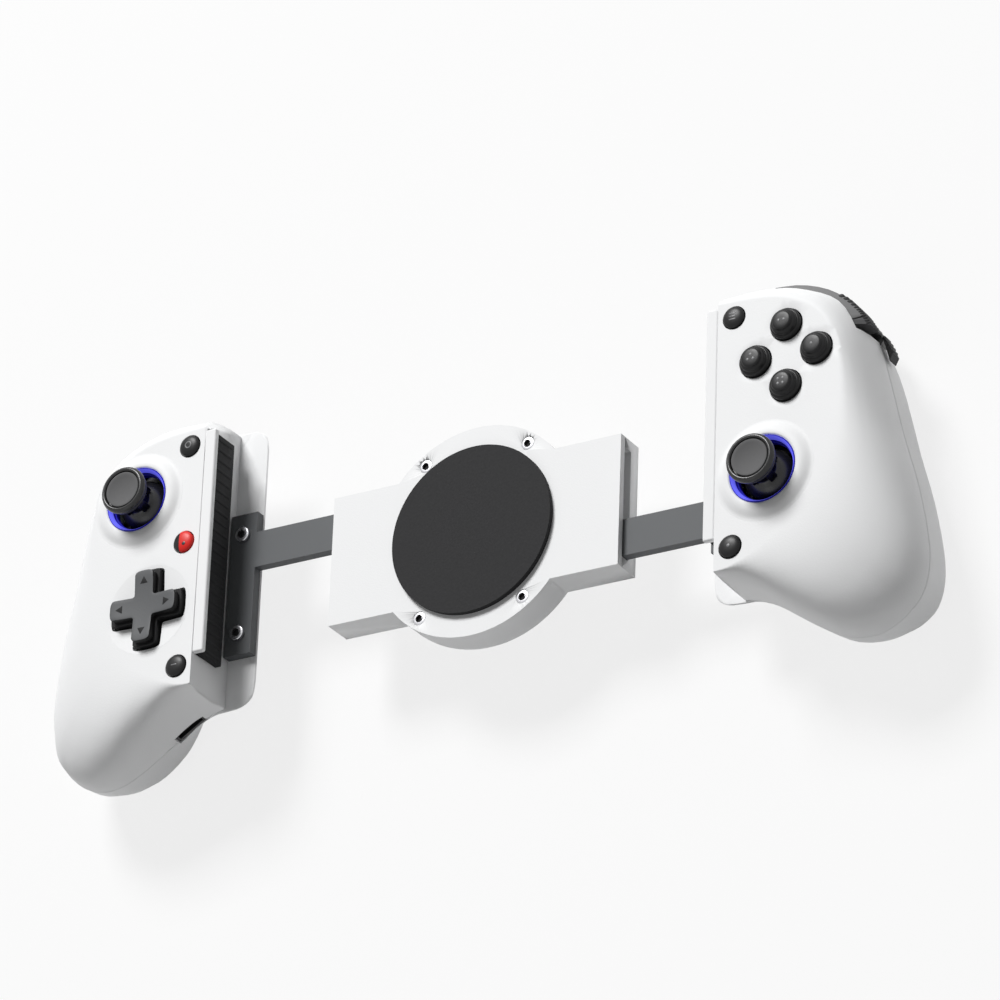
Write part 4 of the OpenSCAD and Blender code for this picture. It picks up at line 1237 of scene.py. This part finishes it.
# The camera's lens in millimetres, its axes, and its place from the bay's middle
LENS = 203.4
SENSOR = 36
FAR_END = 20
VIEW_ACROSS = (0.8639, 0.0343, -0.5024)
VIEW_UP = (0.1936, 0.8984, 0.3942)
VIEW_BACK = (0.4649, -0.4379, 0.7695)
VIEW_PLACE = (0.6675, -0.6214, 1.0835)


def seen_or_mirrored(tree):
    """A socket that is 1 where the camera or a glossy surface looks, and 0 elsewhere."""
    path, seen = tree.nodes.new("ShaderNodeLightPath"), tree.nodes.new("ShaderNodeMath")
    seen.operation = "MAXIMUM"
    tree.links.new(path.outputs["Is Camera Ray"], seen.inputs[0])
    tree.links.new(path.outputs["Is Glossy Ray"], seen.inputs[1])
    return seen.outputs["Value"]


class CONTROLLER_OT_stage(bpy.types.Operator):
    """Pale floor, soft light and the camera"""
    bl_idname = "controller.stage"
    bl_label = "Stage"

    def execute(self, context):
        scene = context.scene
        scene.view_settings.view_transform = "Standard"
        clear_selection()
        bpy.ops.mesh.primitive_plane_add(size=FLOOR_SIZE, location=(0, 0, 0))
        floor = bpy.context.object
        floor.name = "floor"
        material = bpy.data.materials.new("pale floor")
        material.use_nodes = True
        tree = material.node_tree
        shader = tree.nodes["Principled BSDF"]
        shader.inputs["Base Color"].default_value = FLOOR_COLOUR
        shader.inputs["Roughness"].default_value = FLOOR_ROUGH
        glow, blend = tree.nodes.new("ShaderNodeEmission"), tree.nodes.new("ShaderNodeMixShader")
        share = tree.nodes.new("ShaderNodeMath")
        share.operation = "MULTIPLY"
        share.inputs[1].default_value = FLOOR_GLOW
        tree.links.new(seen_or_mirrored(tree), share.inputs[0])
        tree.links.new(share.outputs["Value"], blend.inputs["Fac"])
        tree.links.new(shader.outputs["BSDF"], blend.inputs[1])
        tree.links.new(glow.outputs["Emission"], blend.inputs[2])
        tree.links.new(blend.outputs["Shader"], tree.nodes["Material Output"].inputs["Surface"])
        paint(floor, material)
        aim = Vector(LAMP_AIM)
        for name, place, size, power in LAMPS:
            lamp = bpy.data.lights.new(name, "AREA")
            lamp.size = size
            lamp.energy = power
            obj = bpy.data.objects.new(name, lamp)
            scene.collection.objects.link(obj)
            obj.location = place
            obj.rotation_euler = (aim - Vector(place)).to_track_quat("-Z", "Y").to_euler()
        world = bpy.data.worlds.new("studio")
        scene.world = world
        world.use_nodes = True
        tree = world.node_tree
        back = tree.nodes["Background"]
        back.inputs["Color"].default_value = (1, 1, 1, 1)
        level = tree.nodes.new("ShaderNodeMapRange")
        level.inputs["To Min"].default_value = WORLD_LIGHT
        level.inputs["To Max"].default_value = 1
        tree.links.new(seen_or_mirrored(tree), level.inputs["Value"])
        tree.links.new(level.outputs["Result"], back.inputs["Strength"])
        camera = bpy.data.cameras.new("photo view")
        camera.lens = LENS
        camera.sensor_width = SENSOR
        camera.clip_end = FAR_END
        view = bpy.data.objects.new("photo view", camera)
        scene.collection.objects.link(view)
        turn = Matrix((VIEW_ACROSS, VIEW_UP, VIEW_BACK)).transposed().to_4x4()
        x, y, z = VIEW_PLACE
        view.matrix_world = Matrix.Translation((x, bay_middle + y, bay_height + z)) @ turn
        scene.camera = view
        return {"FINISHED"}


PIECES = (
    CONTROLLER_OT_shells, CONTROLLER_OT_clamps, CONTROLLER_OT_rings, CONTROLLER_OT_sticks,
    CONTROLLER_OT_buttons, CONTROLLER_OT_cross, CONTROLLER_OT_bumpers, CONTROLLER_OT_triggers,
    CONTROLLER_OT_screws, CONTROLLER_OT_inner, CONTROLLER_OT_stage,
)


class CONTROLLER_PT_panel(bpy.types.Panel):
    """Lists the controller's sizes, colours and pieces"""
    bl_label = "Controller"
    bl_idname = "CONTROLLER_PT_panel"
    bl_space_type = "VIEW_3D"
    bl_region_type = "UI"
    bl_category = "Controller"

    def draw(self, context):
        for group in (context.scene.controller_shape, context.scene.controller_finish):
            for name in group.__annotations__:
                self.layout.prop(group, name)
        for piece in PIECES:
            self.layout.operator(piece.bl_idname)


CLASSES = (ShapeSettings, FinishSettings, *PIECES, CONTROLLER_PT_panel)


def register():
    for cls in CLASSES:
        bpy.utils.register_class(cls)
    bpy.types.Scene.controller_shape = bpy.props.PointerProperty(type=ShapeSettings)
    bpy.types.Scene.controller_finish = bpy.props.PointerProperty(type=FinishSettings)


def unregister():
    del bpy.types.Scene.controller_shape
    del bpy.types.Scene.controller_finish
    for cls in reversed(CLASSES):
        bpy.utils.unregister_class(cls)


def main():
    register()
    for step in ("shells", "clamps", "rings", "sticks", "buttons", "cross", "bumpers", "triggers", "screws",
                 "inner", "stage"):
        getattr(bpy.ops.controller, step)()
    clear_selection()


if __name__ == "__main__":
    main()
